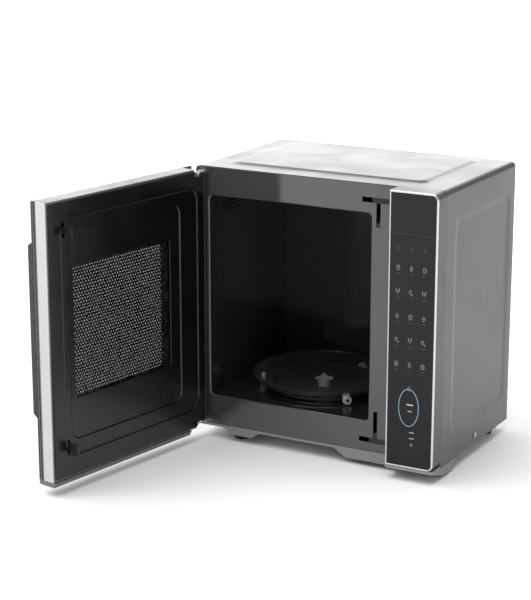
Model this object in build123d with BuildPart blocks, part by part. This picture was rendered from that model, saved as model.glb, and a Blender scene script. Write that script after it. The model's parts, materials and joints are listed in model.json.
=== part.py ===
"""A countertop microwave oven with its side-hung door standing open.

The origin is the centre of the cabinet's footprint on the counter.
X runs to the right, Y from the door side to the back, Z up. Sizes are millimetres.
"""

import os
from math import cos, radians, sin

from build123d import *

os.makedirs("parts", exist_ok=True)

# Cabinet
cabinet_width = 440.0
cabinet_depth = 276.0
cabinet_height = 440.0
foot_height = 20.0
cover_steel = 0.8
cover_corner = 9.0
rear_flange = 14.0
rear_panel_lip = 10.0
vent_field_x = -60.0
vent_field_drop = 60.0
vent_pitch_x = 22.0
vent_pitch_z = 9.0
vent_columns = 9
vent_rows = 5
vent_length = 17.0
vent_width = 4.0
fan_hole_rings = ((12, 8), (22, 14), (32, 20))
fan_hole_radius = 2.6
cord_inlet_from_side = 35.0
cord_inlet_height = 40.0
cord_inlet_radius = 9.0
cord_inlet_lip = 2.0
cord_inlet_reach = 8.0
cord_bore_radius = 4.0
top_pad_rise = 2.6
top_pad_margins = {"left": 40.0, "right": 50.0, "front": 33.0, "rear": 20.0}
top_pad_corner = 20.0
side_pad_depth = 2.0
side_pad_front = 32.0
side_pad_rear = 14.0
side_pad_low = 39.0
side_pad_top_margin = 44.0
pad_wall_slope = 30
fit_gap = 0.3

# Front plate and cooking cavity
plate_steel = 1.2
plate_low = 7.0
plate_under_bezel = 6.5
cavity_left_margin = 25.0
cavity_panel_margin = 45.5
cavity_low = 57.0
cavity_top_margin = 47.0
cavity_rear_space = 20.0
cavity_steel = 0.8
cavity_corner = 8.0
wrap_bend = 3.0
port_width = 72.0
port_height = 42.0
port_drop = 113.0
mica_thickness = 0.5
mica_overlap_y = 13.0
mica_overlap_z = 12.0
lamp_setback = 43.0
lamp_drop = 28.0
coupler_hole_radius = 9.0
slot_from_panel = 33.0
slot_width = 7.0
slot_length = 42.0
lower_stem_extra = 6.0
slot_bar_length = 59.5
slot_bar_height = 8.0
slot_bar_margin = 26.0

# Base and feet
strip_wall = 2.2
strip_side_gap = 3.0
left_bump_from_side = 50.0
left_bump_width = 66.0
left_bump_slope = 14.0
left_bump_drop = 8.0
right_bump_width = 186.0
right_bump_drop = 16.0
right_bump_slope = 28.0
bump_length = 70.0
nose_drop = 11.0
nose_lip = 1.5
foot_radius = 13.0
foot_draft = 8.0
foot_inset = 29.0
left_foot_from_side = 68.0
left_foot_setback = 30.0
right_foot_setback = 27.0
base_rise = 2.0
base_flange_height = 20.0
rear_bump_depth = 10.0
rear_bump_radius = 26.0

# Control panel
panel_width = 80.5
panel_low = 3.3
panel_proud = 32.2
panel_corner = 10.0
bezel_wall = 2.5
trim_width = 2.6
trim_depth = 3.4
trim_chamfer = 0.8
glass_thickness = 2.4
glass_edge_gap = 0.2
bezel_web = 2.0
bezel_ledge = 7.0
touch_sheet_thickness = 1.0
touch_sheet_margin = 15.0
display_margin = 7.0
display_zone_height = 56.0
display_depth = 9.0
board_setback = 12.0
board_thickness = 1.6
board_width = 62.0
board_low = 120.0
board_top_margin = 40.0

# Door
door_open_angle = 99.5
door_side_margin = 2.2
door_panel_gap = 1.8
door_low = 4.2
door_top_margin = 2.3
door_gap = 1.8
door_thickness = 34.0
door_glass_thickness = 3.7
door_wall = 3.0
liner_thickness = 2.5
hinge_inset = 7.9
hinge_pin_radius = 3.0
hinge_running_gap = 0.05
hinge_boss_wall = 4.0
hinge_notch_width = 24.0
hinge_notch_height = 12.0
hinge_arm_thickness = 2.0
hinge_arm_gap = 4.0
hinge_arm_half_width = 6.5
hinge_pin_length = 16.0
bottom_rail_drop = 8.0
bottom_rail_start = 40.0
window_left = 86.0
window_free_margin = 50.5
window_low = 127.0
window_top_margin = 105.0
window_corner = 6.0
frame_lip = 10.0
frame_web = 2.5
frame_window_margin = 22.0
edge_trim_thickness = 1.2
edge_groove_depth = 1.5
screen_depth = 5.0
screen_steel = 0.8
screen_sheet = 0.5
screen_overlap = 6.0
screen_margin = 14.0
screen_free_margin = 39.5
screen_flange = 19.0
film_thickness = 1.5
film_gap = 0.1
liner_margin = 3.5
latch_reach = 20.0
latch_lift = 4.0
latch_thickness = 3.6
latch_claw_drop = 4.0
latch_bar_depth = 4.0
latch_from_slot_bar = 27.0
lower_latch_from_slot_bar = 22.0
spring_radius = 3.2
spring_wire = 0.6
spring_turns = 9
spring_length = 37.0
spring_height = 225.0
spring_depth = 15.5
spring_lug = 3.0

# Handle
handle_from_edge = 30.5
handle_width = 16.0
handle_thickness = 12.0
handle_clearance = 20.0
handle_low = 73.0
handle_top_margin = 58.0
handle_run = 20.0
handle_screw_radius = 2.0
handle_screw_gap = 0.2
handle_screw_bite = 4.0
handle_head_height = 2.4

# Turntable
tray_wall_gap = 7.4
tray_thickness = 4.0
tray_rise = 12.0
wheel_radius = 7.3
wheel_width = 8.0
wheel_from_rim = 15.0
wheel_axle_radius = 2.0
wheel_first_angle = -42.0
ring_from_wheels = 13.0
ring_width = 7.0
ring_height = 4.0
coupler_shaft_radius = 3.5
turntable_motor_radius = 25.0
turntable_motor_height = 15.0

# Electronics bay
guide_depth = 28.0
guide_steel = 1.2
magnetron_yoke_steel = 1.5
magnetron_width = 68.0
magnetron_height = 66.0
magnetron_length = 58.0
filter_box_length = 24.0
fin_count = 9
fin_thickness = 0.8
fan_radius = 42.0
fan_blade_count = 5
fan_from_side = 60.0
fan_height = 110.0
fan_shaft_radius = 1.5
fan_frame_margin = 7.0
fan_frame_depth = 26.0
fan_motor_depth = 27.2
switch_plunger_radius = 1.5
switch_running_gap = 0.05
antenna_radius = 8.0
anode_radius = 17.0
transformer_from_side = 62.0
transformer_setback = 76.0
capacitor_from_side = 42.0
capacitor_behind_transformer = 82.0
side_screw_from_rear = 141.0
side_screw_z = 15.0

# Derived places of the cabinet and the control panel
left = -cabinet_width / 2
right = cabinet_width / 2
front = -cabinet_depth / 2
rear = cabinet_depth / 2
base = foot_height
top = base + cabinet_height
inner_right = right - cover_steel
panel_left = right - panel_width
panel_front = front - panel_proud
panel_height = cabinet_height - panel_low
panel_centre = ((panel_left + right) / 2, base + panel_low + panel_height / 2)
display_high = top - display_margin
display_low = display_high - display_zone_height

# Derived places of the cavity and the latch slots
plate_back = front + plate_steel
plate_right = panel_left + plate_under_bezel
cavity_left = left + cavity_left_margin
cavity_right = panel_left - cavity_panel_margin
cavity_floor_z = base + cavity_low
cavity_top_z = top - cavity_top_margin
cavity_rear = rear - cavity_rear_space
cavity_width = cavity_right - cavity_left
cavity_height = cavity_top_z - cavity_floor_z
cavity_centre_x = (cavity_left + cavity_right) / 2
cavity_centre_y = (plate_back + cavity_rear) / 2
cavity_centre_z = (cavity_floor_z + cavity_top_z) / 2
bay_left = cavity_right + cavity_steel
port_centre_z = cavity_top_z - port_drop
lamp_y = front + lamp_setback
lamp_z = cavity_top_z - lamp_drop
slot_x = panel_left - slot_from_panel
slot_bar_left = panel_left - slot_bar_length
upper_slot_bar = top - slot_bar_margin
lower_slot_bar = base + slot_bar_margin
tray_radius = min(cavity_width, cavity_rear - plate_back) / 2 - tray_wall_gap
wheel_track = tray_radius - wheel_from_rim
ring_radius = wheel_track - ring_from_wheels

# Derived places of the door
door_left = left + door_side_margin
door_width = panel_left - door_panel_gap - door_left
door_bottom = base + door_low
door_top = top - door_top_margin
hinge_forward = hinge_inset + door_gap
window_right = door_width - window_free_margin
window_bottom = base + window_low
window_top = top - window_top_margin
screen_right = door_width - screen_free_margin
handle_centre = door_width - handle_from_edge
handle_bottom = base + handle_low
handle_top = top - handle_top_margin
upper_latch_z = upper_slot_bar - latch_from_slot_bar
lower_latch_z = lower_slot_bar + lower_latch_from_slot_bar

# Derived places behind the control panel and on the rear panel
vent_field_z = top - vent_field_drop
cord_x = right - cord_inlet_from_side
cord_z = base + cord_inlet_height
fan_centre_x = right - fan_from_side
fan_centre_z = base + fan_height
transformer_x = right - transformer_from_side
transformer_y = front + transformer_setback
capacitor_x = right - capacitor_from_side
capacitor_y = transformer_y + capacitor_behind_transformer
side_screw_y = rear - side_screw_from_rear

front_plane = Plane.XZ.offset(-front)
rear_plane = Plane.XZ.offset(-rear)


def write(piece, name):
    """Labels a finished piece and writes its STEP file."""
    piece.part.label = name
    export_step(piece.part, f"parts/{name}.step")


def block(x, y, z, mode=Mode.ADD):
    """A square-edged block between the given limits along each axis, in the part being built."""
    with Locations(((x[0] + x[1]) / 2, (y[0] + y[1]) / 2, (z[0] + z[1]) / 2)):
        Box(x[1] - x[0], y[1] - y[0], z[1] - z[0], mode=mode)


def around(centre, size):
    """The limits of a length centred on a place."""
    return (centre - size / 2, centre + size / 2)


# ---------------------------------------------------------------- cabinet

# Wrap-round steel cover: two sides and a top with a raised field, flanged over the rear panel
side_pad_length = cabinet_depth - side_pad_front - side_pad_rear
side_pad_height = cabinet_height - side_pad_low - side_pad_top_margin
side_pad_centre = (
    (side_pad_front - side_pad_rear) / 2,
    base + side_pad_low + side_pad_height / 2,
)
top_pad_width = cabinet_width - top_pad_margins["left"] - top_pad_margins["right"]
top_pad_depth = cabinet_depth - top_pad_margins["front"] - top_pad_margins["rear"]
top_pad_centre = (
    (top_pad_margins["left"] - top_pad_margins["right"]) / 2,
    (top_pad_margins["front"] - top_pad_margins["rear"]) / 2,
)
with BuildPart() as outer_cover:
    with BuildSketch(rear_plane) as cover_outline:
        with Locations((0, base + cabinet_height / 2)):
            Rectangle(cabinet_width, cabinet_height)
        fillet(cover_outline.vertices().group_by(Axis.Y)[-1], cover_corner)
    extrude(amount=cabinet_depth)
    with BuildSketch(rear_plane.offset(cover_steel)) as cover_bore:
        with Locations((0, base + cabinet_height / 2 - cover_steel)):
            Rectangle(cabinet_width - 2 * cover_steel, cabinet_height)
        fillet(cover_bore.vertices().group_by(Axis.Y)[-1], cover_corner - cover_steel)
    extrude(amount=cabinet_depth, mode=Mode.SUBTRACT)
    with BuildSketch(rear_plane):
        with Locations((0, base + (cabinet_height - rear_flange) / 2 - 1)):
            Rectangle(cabinet_width - 2 * rear_flange, cabinet_height - rear_flange + 2)
    extrude(amount=cover_steel, mode=Mode.SUBTRACT)
    for side in (-1, 1):
        with BuildSketch(Plane.YZ.offset(side * (right - cover_steel))):
            with Locations(side_pad_centre):
                RectangleRounded(side_pad_length, side_pad_height, top_pad_corner)
        extrude(amount=-side * side_pad_depth, taper=pad_wall_slope)
        with BuildSketch(Plane.YZ.offset(side * right)):
            with Locations(side_pad_centre):
                RectangleRounded(side_pad_length - 1, side_pad_height - 1, top_pad_corner - 0.5)
        extrude(amount=-side * side_pad_depth, taper=pad_wall_slope, mode=Mode.SUBTRACT)
    with BuildSketch(Plane.XY.offset(top)):
        with Locations(top_pad_centre):
            RectangleRounded(top_pad_width, top_pad_depth, top_pad_corner)
    extrude(amount=top_pad_rise, taper=pad_wall_slope)
    with BuildSketch(Plane.XY.offset(top - cover_steel)):
        with Locations(top_pad_centre):
            RectangleRounded(top_pad_width - 1, top_pad_depth - 1, top_pad_corner - 0.5)
    extrude(amount=top_pad_rise, taper=pad_wall_slope, mode=Mode.SUBTRACT)
write(outer_cover, "outer_cover")

# Rear panel: a flanged steel sheet inside the cover's rear flange, with vent slots
rear_half = inner_right - fit_gap
rear_low = base + 1.5
rear_high = top - cover_steel - fit_gap
rear_face = rear - cover_steel
with BuildPart() as rear_panel:
    block((-rear_half, rear_half), (rear_face - cover_steel, rear_face), (rear_low, rear_high))
    for edge in (-rear_half, rear_half - cover_steel):
        block(
            (edge, edge + cover_steel),
            (rear_face - rear_panel_lip, rear_face),
            (rear_low, rear_high - cover_corner),
        )
    fillet(
        rear_panel.edges().filter_by(Axis.Y).filter_by(
            lambda e: e.center().Z > rear_high - 1 and abs(e.center().X) > rear_half - 1
        ),
        cover_corner,
    )
    with BuildSketch(rear_plane):
        with Locations((vent_field_x, vent_field_z)):
            with GridLocations(vent_pitch_x, vent_pitch_z, vent_columns, vent_rows):
                SlotOverall(vent_length, vent_width)
        with Locations((fan_centre_x, fan_centre_z)):
            for radius, count in fan_hole_rings:
                with PolarLocations(radius, count):
                    Circle(fan_hole_radius)
        with Locations((cord_x, cord_z)):
            Circle(cord_inlet_radius - cord_inlet_lip)
    extrude(amount=3 * cover_steel, mode=Mode.SUBTRACT)
write(rear_panel, "rear_panel")

# Cord inlet: a flanged bush pressed into the rear panel
with BuildPart() as cord_inlet:
    with BuildSketch(rear_plane.offset(-1.5)):
        with Locations((cord_x, cord_z)):
            Circle(cord_inlet_radius)
            Circle(cord_bore_radius, mode=Mode.SUBTRACT)
    extrude(amount=1.5 + cover_steel)
    with BuildSketch(rear_plane.offset(cover_steel)):
        with Locations((cord_x, cord_z)):
            Circle(cord_inlet_radius - cord_inlet_lip)
            Circle(cord_bore_radius, mode=Mode.SUBTRACT)
    extrude(amount=cord_inlet_reach)
write(cord_inlet, "cord_inlet")

# Pressed base plate with a dished foot bump near each rear corner
base_top = base + base_rise
base_half = rear_half - cover_steel - fit_gap
with BuildPart() as base_plate:
    block(
        (-base_half, base_half),
        (front + strip_wall + fit_gap, rear_face - cover_steel),
        (base_top - cover_steel, base_top),
    )
    for side in (-1, 1):
        flange_x = side * (base_half - cover_steel / 2)
        block(around(flange_x, cover_steel), (front + 12, rear_face - rear_panel_lip - 1),
              (base_top - cover_steel, base_top + base_flange_height))
    for foot_x in (left + foot_inset, right - foot_inset):
        with BuildSketch(Plane.XY.offset(base_top - cover_steel)):
            with Locations((foot_x, rear - foot_inset)):
                Circle(rear_bump_radius)
        extrude(amount=-rear_bump_depth, taper=25)
        with BuildSketch(Plane.XY.offset(base_top)):
            with Locations((foot_x, rear - foot_inset)):
                Circle(rear_bump_radius - 1)
        extrude(amount=-rear_bump_depth, taper=25, mode=Mode.SUBTRACT)
    with BuildSketch(Plane.XY.offset(base_top)):
        with Locations((cavity_centre_x, cavity_centre_y + 70)):
            with GridLocations(14, 16, 6, 2):
                SlotOverall(12, 3, rotation=90)
    extrude(amount=-3, mode=Mode.SUBTRACT)
write(base_plate, "base_plate")

# Front base strip: a hollow moulding under the front plate, dropped into two foot bumps
strip_top = base + plate_low - fit_gap
strip_low = base + 2.0
left_bump_start = left + left_bump_from_side
left_bump_end = left_bump_start + left_bump_width
right_bump_start = right - right_bump_width


def strip_form(inset):
    """The strip's outer form, or its hollow when set in by the wall: front outline cut by side outline."""
    low = strip_low + inset
    left_low = base - left_bump_drop + inset
    right_low = base - right_bump_drop + inset
    with BuildPart() as form:
        with BuildSketch(front_plane.offset(-inset)):
            Polygon(
                (left + strip_side_gap + inset, strip_top),
                (left + strip_side_gap + inset, low),
                (left_bump_start + inset, low),
                (left_bump_start + inset + left_bump_slope, left_low),
                (left_bump_end - inset - left_bump_slope, left_low),
                (left_bump_end - inset, low),
                (right_bump_start + inset, low),
                (right_bump_start + inset + right_bump_slope, right_low),
                (right - inset, right_low),
                (right - inset, strip_top),
                align=None,
            )
        extrude(amount=-(bump_length - 2 * inset))
        with BuildSketch(Plane.YZ.offset(left)):
            Polygon(
                (front + inset, strip_top),
                (front + inset, base - nose_drop + inset),
                (front + 13 + inset / 2, right_low),
                (front + 40 - inset / 2, right_low),
                (front + 60 - inset, base - 5 + inset),
                (front + bump_length - inset, base + inset * 0.9),
                (front + bump_length - inset, strip_top),
                align=None,
            )
        extrude(amount=cabinet_width, mode=Mode.INTERSECT)
    return form.part


strip_outside = strip_form(0)
strip_hollow = strip_form(strip_wall)
with BuildPart() as front_base_strip:
    add(strip_outside)
    add(strip_hollow, mode=Mode.SUBTRACT)
    block(
        (left, right),
        (front + strip_wall, front + bump_length + 1),
        (base_top - cover_steel - fit_gap, strip_top + 1),
        mode=Mode.SUBTRACT,
    )
    block(
        (inner_right - fit_gap, right),
        (front, front + bump_length + 1),
        (base - fit_gap, strip_top + 1),
        mode=Mode.SUBTRACT,
    )
    with BuildSketch(Plane.YZ.offset(panel_left)):
        Polygon(
            (front, base + panel_low - fit_gap),
            (panel_front, base + panel_low - fit_gap),
            (panel_front, base - nose_lip),
            (front, base - nose_drop),
            align=None,
        )
    extrude(amount=panel_width)
    fillet(
        front_base_strip.edges().filter_by(Axis.Z).filter_by(
            lambda e: e.center().X > right - 1 and e.center().Y < panel_front + 1
        ),
        panel_corner - 2,
    )
write(front_base_strip, "front_base_strip")

# Four rubber feet under the bumps
rear_bump_bottom = base_top - cover_steel - rear_bump_depth
foot_places = (
    (left + left_foot_from_side, front + left_foot_setback, base - left_bump_drop),
    (right - foot_inset, front + right_foot_setback, base - right_bump_drop),
    (left + foot_inset, rear - foot_inset, rear_bump_bottom),
    (right - foot_inset, rear - foot_inset, rear_bump_bottom),
)
with BuildPart() as rubber_feet:
    for foot_x, foot_y, foot_top in foot_places:
        with BuildSketch():
            with Locations((foot_x, foot_y)):
                Circle(foot_radius)
        extrude(amount=foot_top, taper=-foot_draft)
write(rubber_feet, "rubber_feet")

# Enamelled front plate: the sheet over, under and left of the cooking opening
plate_heights = (base + plate_low, top - cover_steel - fit_gap)
with BuildPart() as front_plate:
    block((left + cover_steel + fit_gap, cavity_right), (front, plate_back), plate_heights)
    fillet(
        front_plate.edges().filter_by(Axis.Y).filter_by(
            lambda e: e.center().X < left + 2 and e.center().Z > top - 2
        ),
        cover_corner - cover_steel,
    )
    with BuildSketch(front_plane):
        with Locations((cavity_centre_x, cavity_centre_z)):
            RectangleRounded(cavity_width, cavity_height, cavity_corner)
    extrude(amount=-plate_steel, mode=Mode.SUBTRACT)
    for bar_z in (upper_slot_bar, lower_slot_bar):
        block(
            (slot_bar_left, cavity_right),
            (front, plate_back),
            around(bar_z, slot_bar_height),
            mode=Mode.SUBTRACT,
        )
write(front_plate, "front_plate")

# Latch plate: the front plate's right-hand strip, with the two T-shaped latch slots
with BuildPart() as latch_plate:
    block((cavity_right, plate_right), (front, plate_back), plate_heights)
    for bar_z, stem_end in (
        (upper_slot_bar, upper_slot_bar - slot_length),
        (lower_slot_bar, lower_slot_bar + slot_length + lower_stem_extra),
    ):
        block(
            (cavity_right, panel_left + 2),
            (front, plate_back),
            around(bar_z, slot_bar_height),
            mode=Mode.SUBTRACT,
        )
        block(
            around(slot_x, slot_width),
            (front, plate_back),
            (min(bar_z, stem_end), max(bar_z, stem_end)),
            mode=Mode.SUBTRACT,
        )
write(latch_plate, "latch_plate")

# Cavity wrap: left wall, roof and right wall bent from one sheet, with lamp and steam holes
with BuildPart() as cavity_wrap:
    with BuildSketch(front_plane.offset(-plate_steel)) as wrap_outline:
        with Locations((cavity_centre_x, cavity_centre_z)):
            Rectangle(cavity_width + 2 * cavity_steel, cavity_height + 2 * cavity_steel)
        fillet(wrap_outline.vertices().group_by(Axis.Y)[-1], wrap_bend + cavity_steel)
    extrude(amount=-(cavity_rear - plate_back))
    with BuildSketch(front_plane.offset(-plate_steel)) as wrap_bore:
        with Locations((cavity_centre_x, cavity_centre_z - cavity_steel)):
            Rectangle(cavity_width, cavity_height + 2 * cavity_steel)
        fillet(wrap_bore.vertices().group_by(Axis.Y)[-1], wrap_bend)
    extrude(amount=-(cavity_rear - plate_back), mode=Mode.SUBTRACT)
    block(
        (cavity_right, bay_left),
        around(cavity_centre_y, port_width),
        around(port_centre_z, port_height),
        mode=Mode.SUBTRACT,
    )
    with BuildSketch(Plane.YZ.offset(bay_left)):
        with Locations((lamp_y, lamp_z)):
            with GridLocations(6, 6, 6, 4):
                Circle(1.8)
        with Locations((cavity_centre_y + 70, lamp_z)):
            with GridLocations(7, 7, 5, 4):
                Circle(2.2)
    extrude(amount=-2 * cavity_steel, mode=Mode.SUBTRACT)
    with BuildSketch(Plane.YZ.offset(cavity_left)):
        with Locations((cavity_centre_y - 60, lamp_z)):
            with GridLocations(7, 7, 8, 3):
                Circle(2.2)
    extrude(amount=-2 * cavity_steel, mode=Mode.SUBTRACT)
write(cavity_wrap, "cavity_wrap")

# Cavity floor with the coupler hole, and the cavity's rear wall
with BuildPart() as cavity_floor:
    block(
        (cavity_left, cavity_right),
        (plate_back, cavity_rear),
        (cavity_floor_z - cavity_steel, cavity_floor_z),
    )
    with Locations((cavity_centre_x, cavity_centre_y, cavity_floor_z)):
        Cylinder(coupler_hole_radius, 4, mode=Mode.SUBTRACT)
write(cavity_floor, "cavity_floor")

with BuildPart() as cavity_rear_wall:
    block(
        (cavity_left - cavity_steel, bay_left),
        (cavity_rear, cavity_rear + cavity_steel),
        (cavity_floor_z - cavity_steel, cavity_top_z + cavity_steel),
    )
write(cavity_rear_wall, "cavity_rear_wall")

# Mica sheet that covers the microwave port inside the cavity
with BuildPart() as mica_cover:
    with BuildSketch(Plane.YZ.offset(cavity_right)):
        with Locations((cavity_centre_y, port_centre_z)):
            RectangleRounded(port_width + 2 * mica_overlap_y, port_height + 2 * mica_overlap_z, 4)
    extrude(amount=-mica_thickness)
write(mica_cover, "mica_cover")

# ---------------------------------------------------------------- control panel

# Panel bezel: a deep moulded frame that stands proud of the front plate
glass_back = panel_front + trim_depth
with BuildPart() as control_bezel:
    with BuildSketch(front_plane) as bezel_outline:
        with Locations(panel_centre):
            Rectangle(panel_width, panel_height)
        fillet(bezel_outline.vertices().group_by(Axis.X)[-1], panel_corner)
    extrude(amount=panel_proud - trim_depth)
    with BuildSketch(front_plane) as bezel_hollow:
        with Locations(panel_centre):
            Rectangle(panel_width - 2 * bezel_wall, panel_height - 2 * bezel_wall)
        fillet(bezel_hollow.vertices().group_by(Axis.X)[-1], panel_corner - bezel_wall)
    extrude(amount=panel_proud - trim_depth - bezel_web, mode=Mode.SUBTRACT)
    with BuildSketch(Plane.XZ.offset(-glass_back)):
        with Locations(panel_centre):
            Rectangle(panel_width - 2 * bezel_ledge, panel_height - 2 * bezel_ledge)
    extrude(amount=-bezel_web, mode=Mode.SUBTRACT)
write(control_bezel, "control_bezel")

# Bright metal trim round the control glass
with BuildPart() as panel_trim:
    with BuildSketch(Plane.XZ.offset(-glass_back)) as trim_outline:
        with Locations(panel_centre):
            Rectangle(panel_width, panel_height)
        fillet(trim_outline.vertices().group_by(Axis.X)[-1], panel_corner)
    extrude(amount=trim_depth)
    with BuildSketch(Plane.XZ.offset(-glass_back)) as trim_hole:
        with Locations(panel_centre):
            Rectangle(panel_width - 2 * trim_width, panel_height - 2 * trim_width)
        fillet(trim_hole.vertices().group_by(Axis.X)[-1], panel_corner - trim_width)
    extrude(amount=trim_depth, mode=Mode.SUBTRACT)
    chamfer(panel_trim.faces().sort_by(Axis.Y)[0].outer_wire().edges(), trim_chamfer)
write(panel_trim, "panel_trim")

# Glossy glass face of the control panel, seated in the trim
glass_width = panel_width - 2 * trim_width - 2 * glass_edge_gap
glass_height = panel_height - 2 * trim_width - 2 * glass_edge_gap
with BuildPart() as control_glass:
    with BuildSketch(Plane.XZ.offset(-glass_back)) as glass_outline:
        with Locations(panel_centre):
            Rectangle(glass_width, glass_height)
        fillet(glass_outline.vertices().group_by(Axis.X)[-1], panel_corner - trim_width)
    extrude(amount=glass_thickness)
write(control_glass, "control_glass")

# Touch sheet behind the glass: touch areas and a large start area, none of which travel
panel_bottom = base + panel_low
touch_sheet_width = panel_width - 2 * bezel_ledge - 1
with BuildPart() as touch_sheet:
    with BuildSketch(Plane.XZ.offset(-glass_back)):
        with Locations((panel_centre[0], (panel_bottom + display_low) / 2)):
            Rectangle(touch_sheet_width, display_low - panel_bottom - 2 * touch_sheet_margin)
    extrude(amount=-touch_sheet_thickness)
write(touch_sheet, "touch_sheet")

# Display block behind the top of the glass
with BuildPart() as display_module:
    block(
        around(panel_centre[0], touch_sheet_width - 5),
        (glass_back, glass_back + display_depth),
        (display_low + 6, display_high - 4),
    )
write(display_module, "display_module")

# Control board with its relay, transformer and connector
board_front = glass_back + board_setback
board_back = board_front + board_thickness
board_bottom = base + board_low
board_top = top - board_top_margin
with BuildPart() as control_board:
    block(
        around(panel_centre[0], board_width),
        (board_front, board_back),
        (board_bottom, board_top),
    )
    for x0, z0, wide, deep, high in (
        (-22, board_bottom + 30, 20, 16, 18),
        (6, board_bottom + 30, 24, 15, 30),
        (-20, board_bottom + 80, 12, 10, 26),
        (8, board_bottom + 95, 18, 12, 12),
        (-24, board_top - 70, 30, 6, 8),
    ):
        block(
            (panel_centre[0] + x0, panel_centre[0] + x0 + wide),
            (board_back, board_back + deep),
            (z0, z0 + high),
        )
write(control_board, "control_board")

# ---------------------------------------------------------------- hinges and door

pin_x = door_left + hinge_inset
pin_y = front - door_gap - hinge_forward
open_turn = (
    Location((pin_x, pin_y, 0))
    * Location((0, 0, 0), (0, 0, -door_open_angle))
    * Location((-pin_x, -pin_y, 0))
)
closed_face = Plane(origin=(door_left, front - door_gap, 0), x_dir=(1, 0, 0), z_dir=(0, -1, 0))

# The door's own plane on its inner face: x from the hinge edge, y up, z out through the door
door_face = Plane(open_turn * closed_face.location)


def door_block(w, z, n, mode=Mode.ADD):
    """A square-edged block in the open door: across it, up it and out through it."""
    centre = Location(((w[0] + w[1]) / 2, (z[0] + z[1]) / 2, (n[0] + n[1]) / 2))
    with Locations(door_face.location * centre):
        Box(w[1] - w[0], z[1] - z[0], n[1] - n[0], mode=mode)


def door_upright(w, n, z, radius, mode=Mode.ADD):
    """An upright cylinder in the open door, between two heights."""
    foot = door_face.location * Location((w, 0, n))
    with Locations(Location((foot.position.X, foot.position.Y, (z[0] + z[1]) / 2))):
        Cylinder(radius, z[1] - z[0], mode=mode)


def door_section(w):
    """The plane across the open door at w: x out through the door, y up, normal towards the hinge."""
    origin = (door_face.location * Location((w, 0, 0))).position
    return Plane(origin=origin, x_dir=door_face.z_dir, z_dir=-door_face.x_dir)


# Hinge brackets on the front plate; each carries the pin that the door turns on
notch_top = door_top - hinge_notch_height
notch_bottom = door_bottom + hinge_notch_height
upper_arm_z = notch_top + hinge_arm_gap
lower_arm_z = notch_bottom - hinge_arm_gap - hinge_arm_thickness
boss_length = hinge_pin_length + hinge_boss_wall


def hinge_bracket(arm_z, leg, pin_z):
    """A bent steel arm with its leg on the front plate and its round-ended nose over the pin."""
    with BuildPart() as bracket:
        block(
            (pin_x - hinge_arm_half_width, pin_x + hinge_arm_half_width),
            (pin_y, front),
            (arm_z, arm_z + hinge_arm_thickness),
        )
        with Locations((pin_x, pin_y, arm_z + hinge_arm_thickness / 2)):
            Cylinder(hinge_arm_half_width, hinge_arm_thickness)
        block(
            (pin_x - hinge_arm_half_width, pin_x + hinge_arm_half_width),
            (front - hinge_arm_thickness * 0.8, front),
            leg,
        )
        with Locations((pin_x, pin_y, (pin_z[0] + pin_z[1]) / 2)):
            Cylinder(hinge_pin_radius, pin_z[1] - pin_z[0])
    return bracket


upper_bracket = hinge_bracket(
    upper_arm_z,
    (notch_top + 1.5, door_top - 0.5),
    (notch_top - hinge_pin_length, upper_arm_z + hinge_arm_thickness / 2),
)
lower_bracket = hinge_bracket(
    lower_arm_z,
    (base + plate_low + 0.5, notch_bottom - 1.5),
    (lower_arm_z + hinge_arm_thickness / 2, notch_bottom + hinge_pin_length),
)
with BuildPart() as hinge_brackets:
    add(upper_bracket.part)
    add(lower_bracket.part)
write(hinge_brackets, "hinge_brackets")

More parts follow.
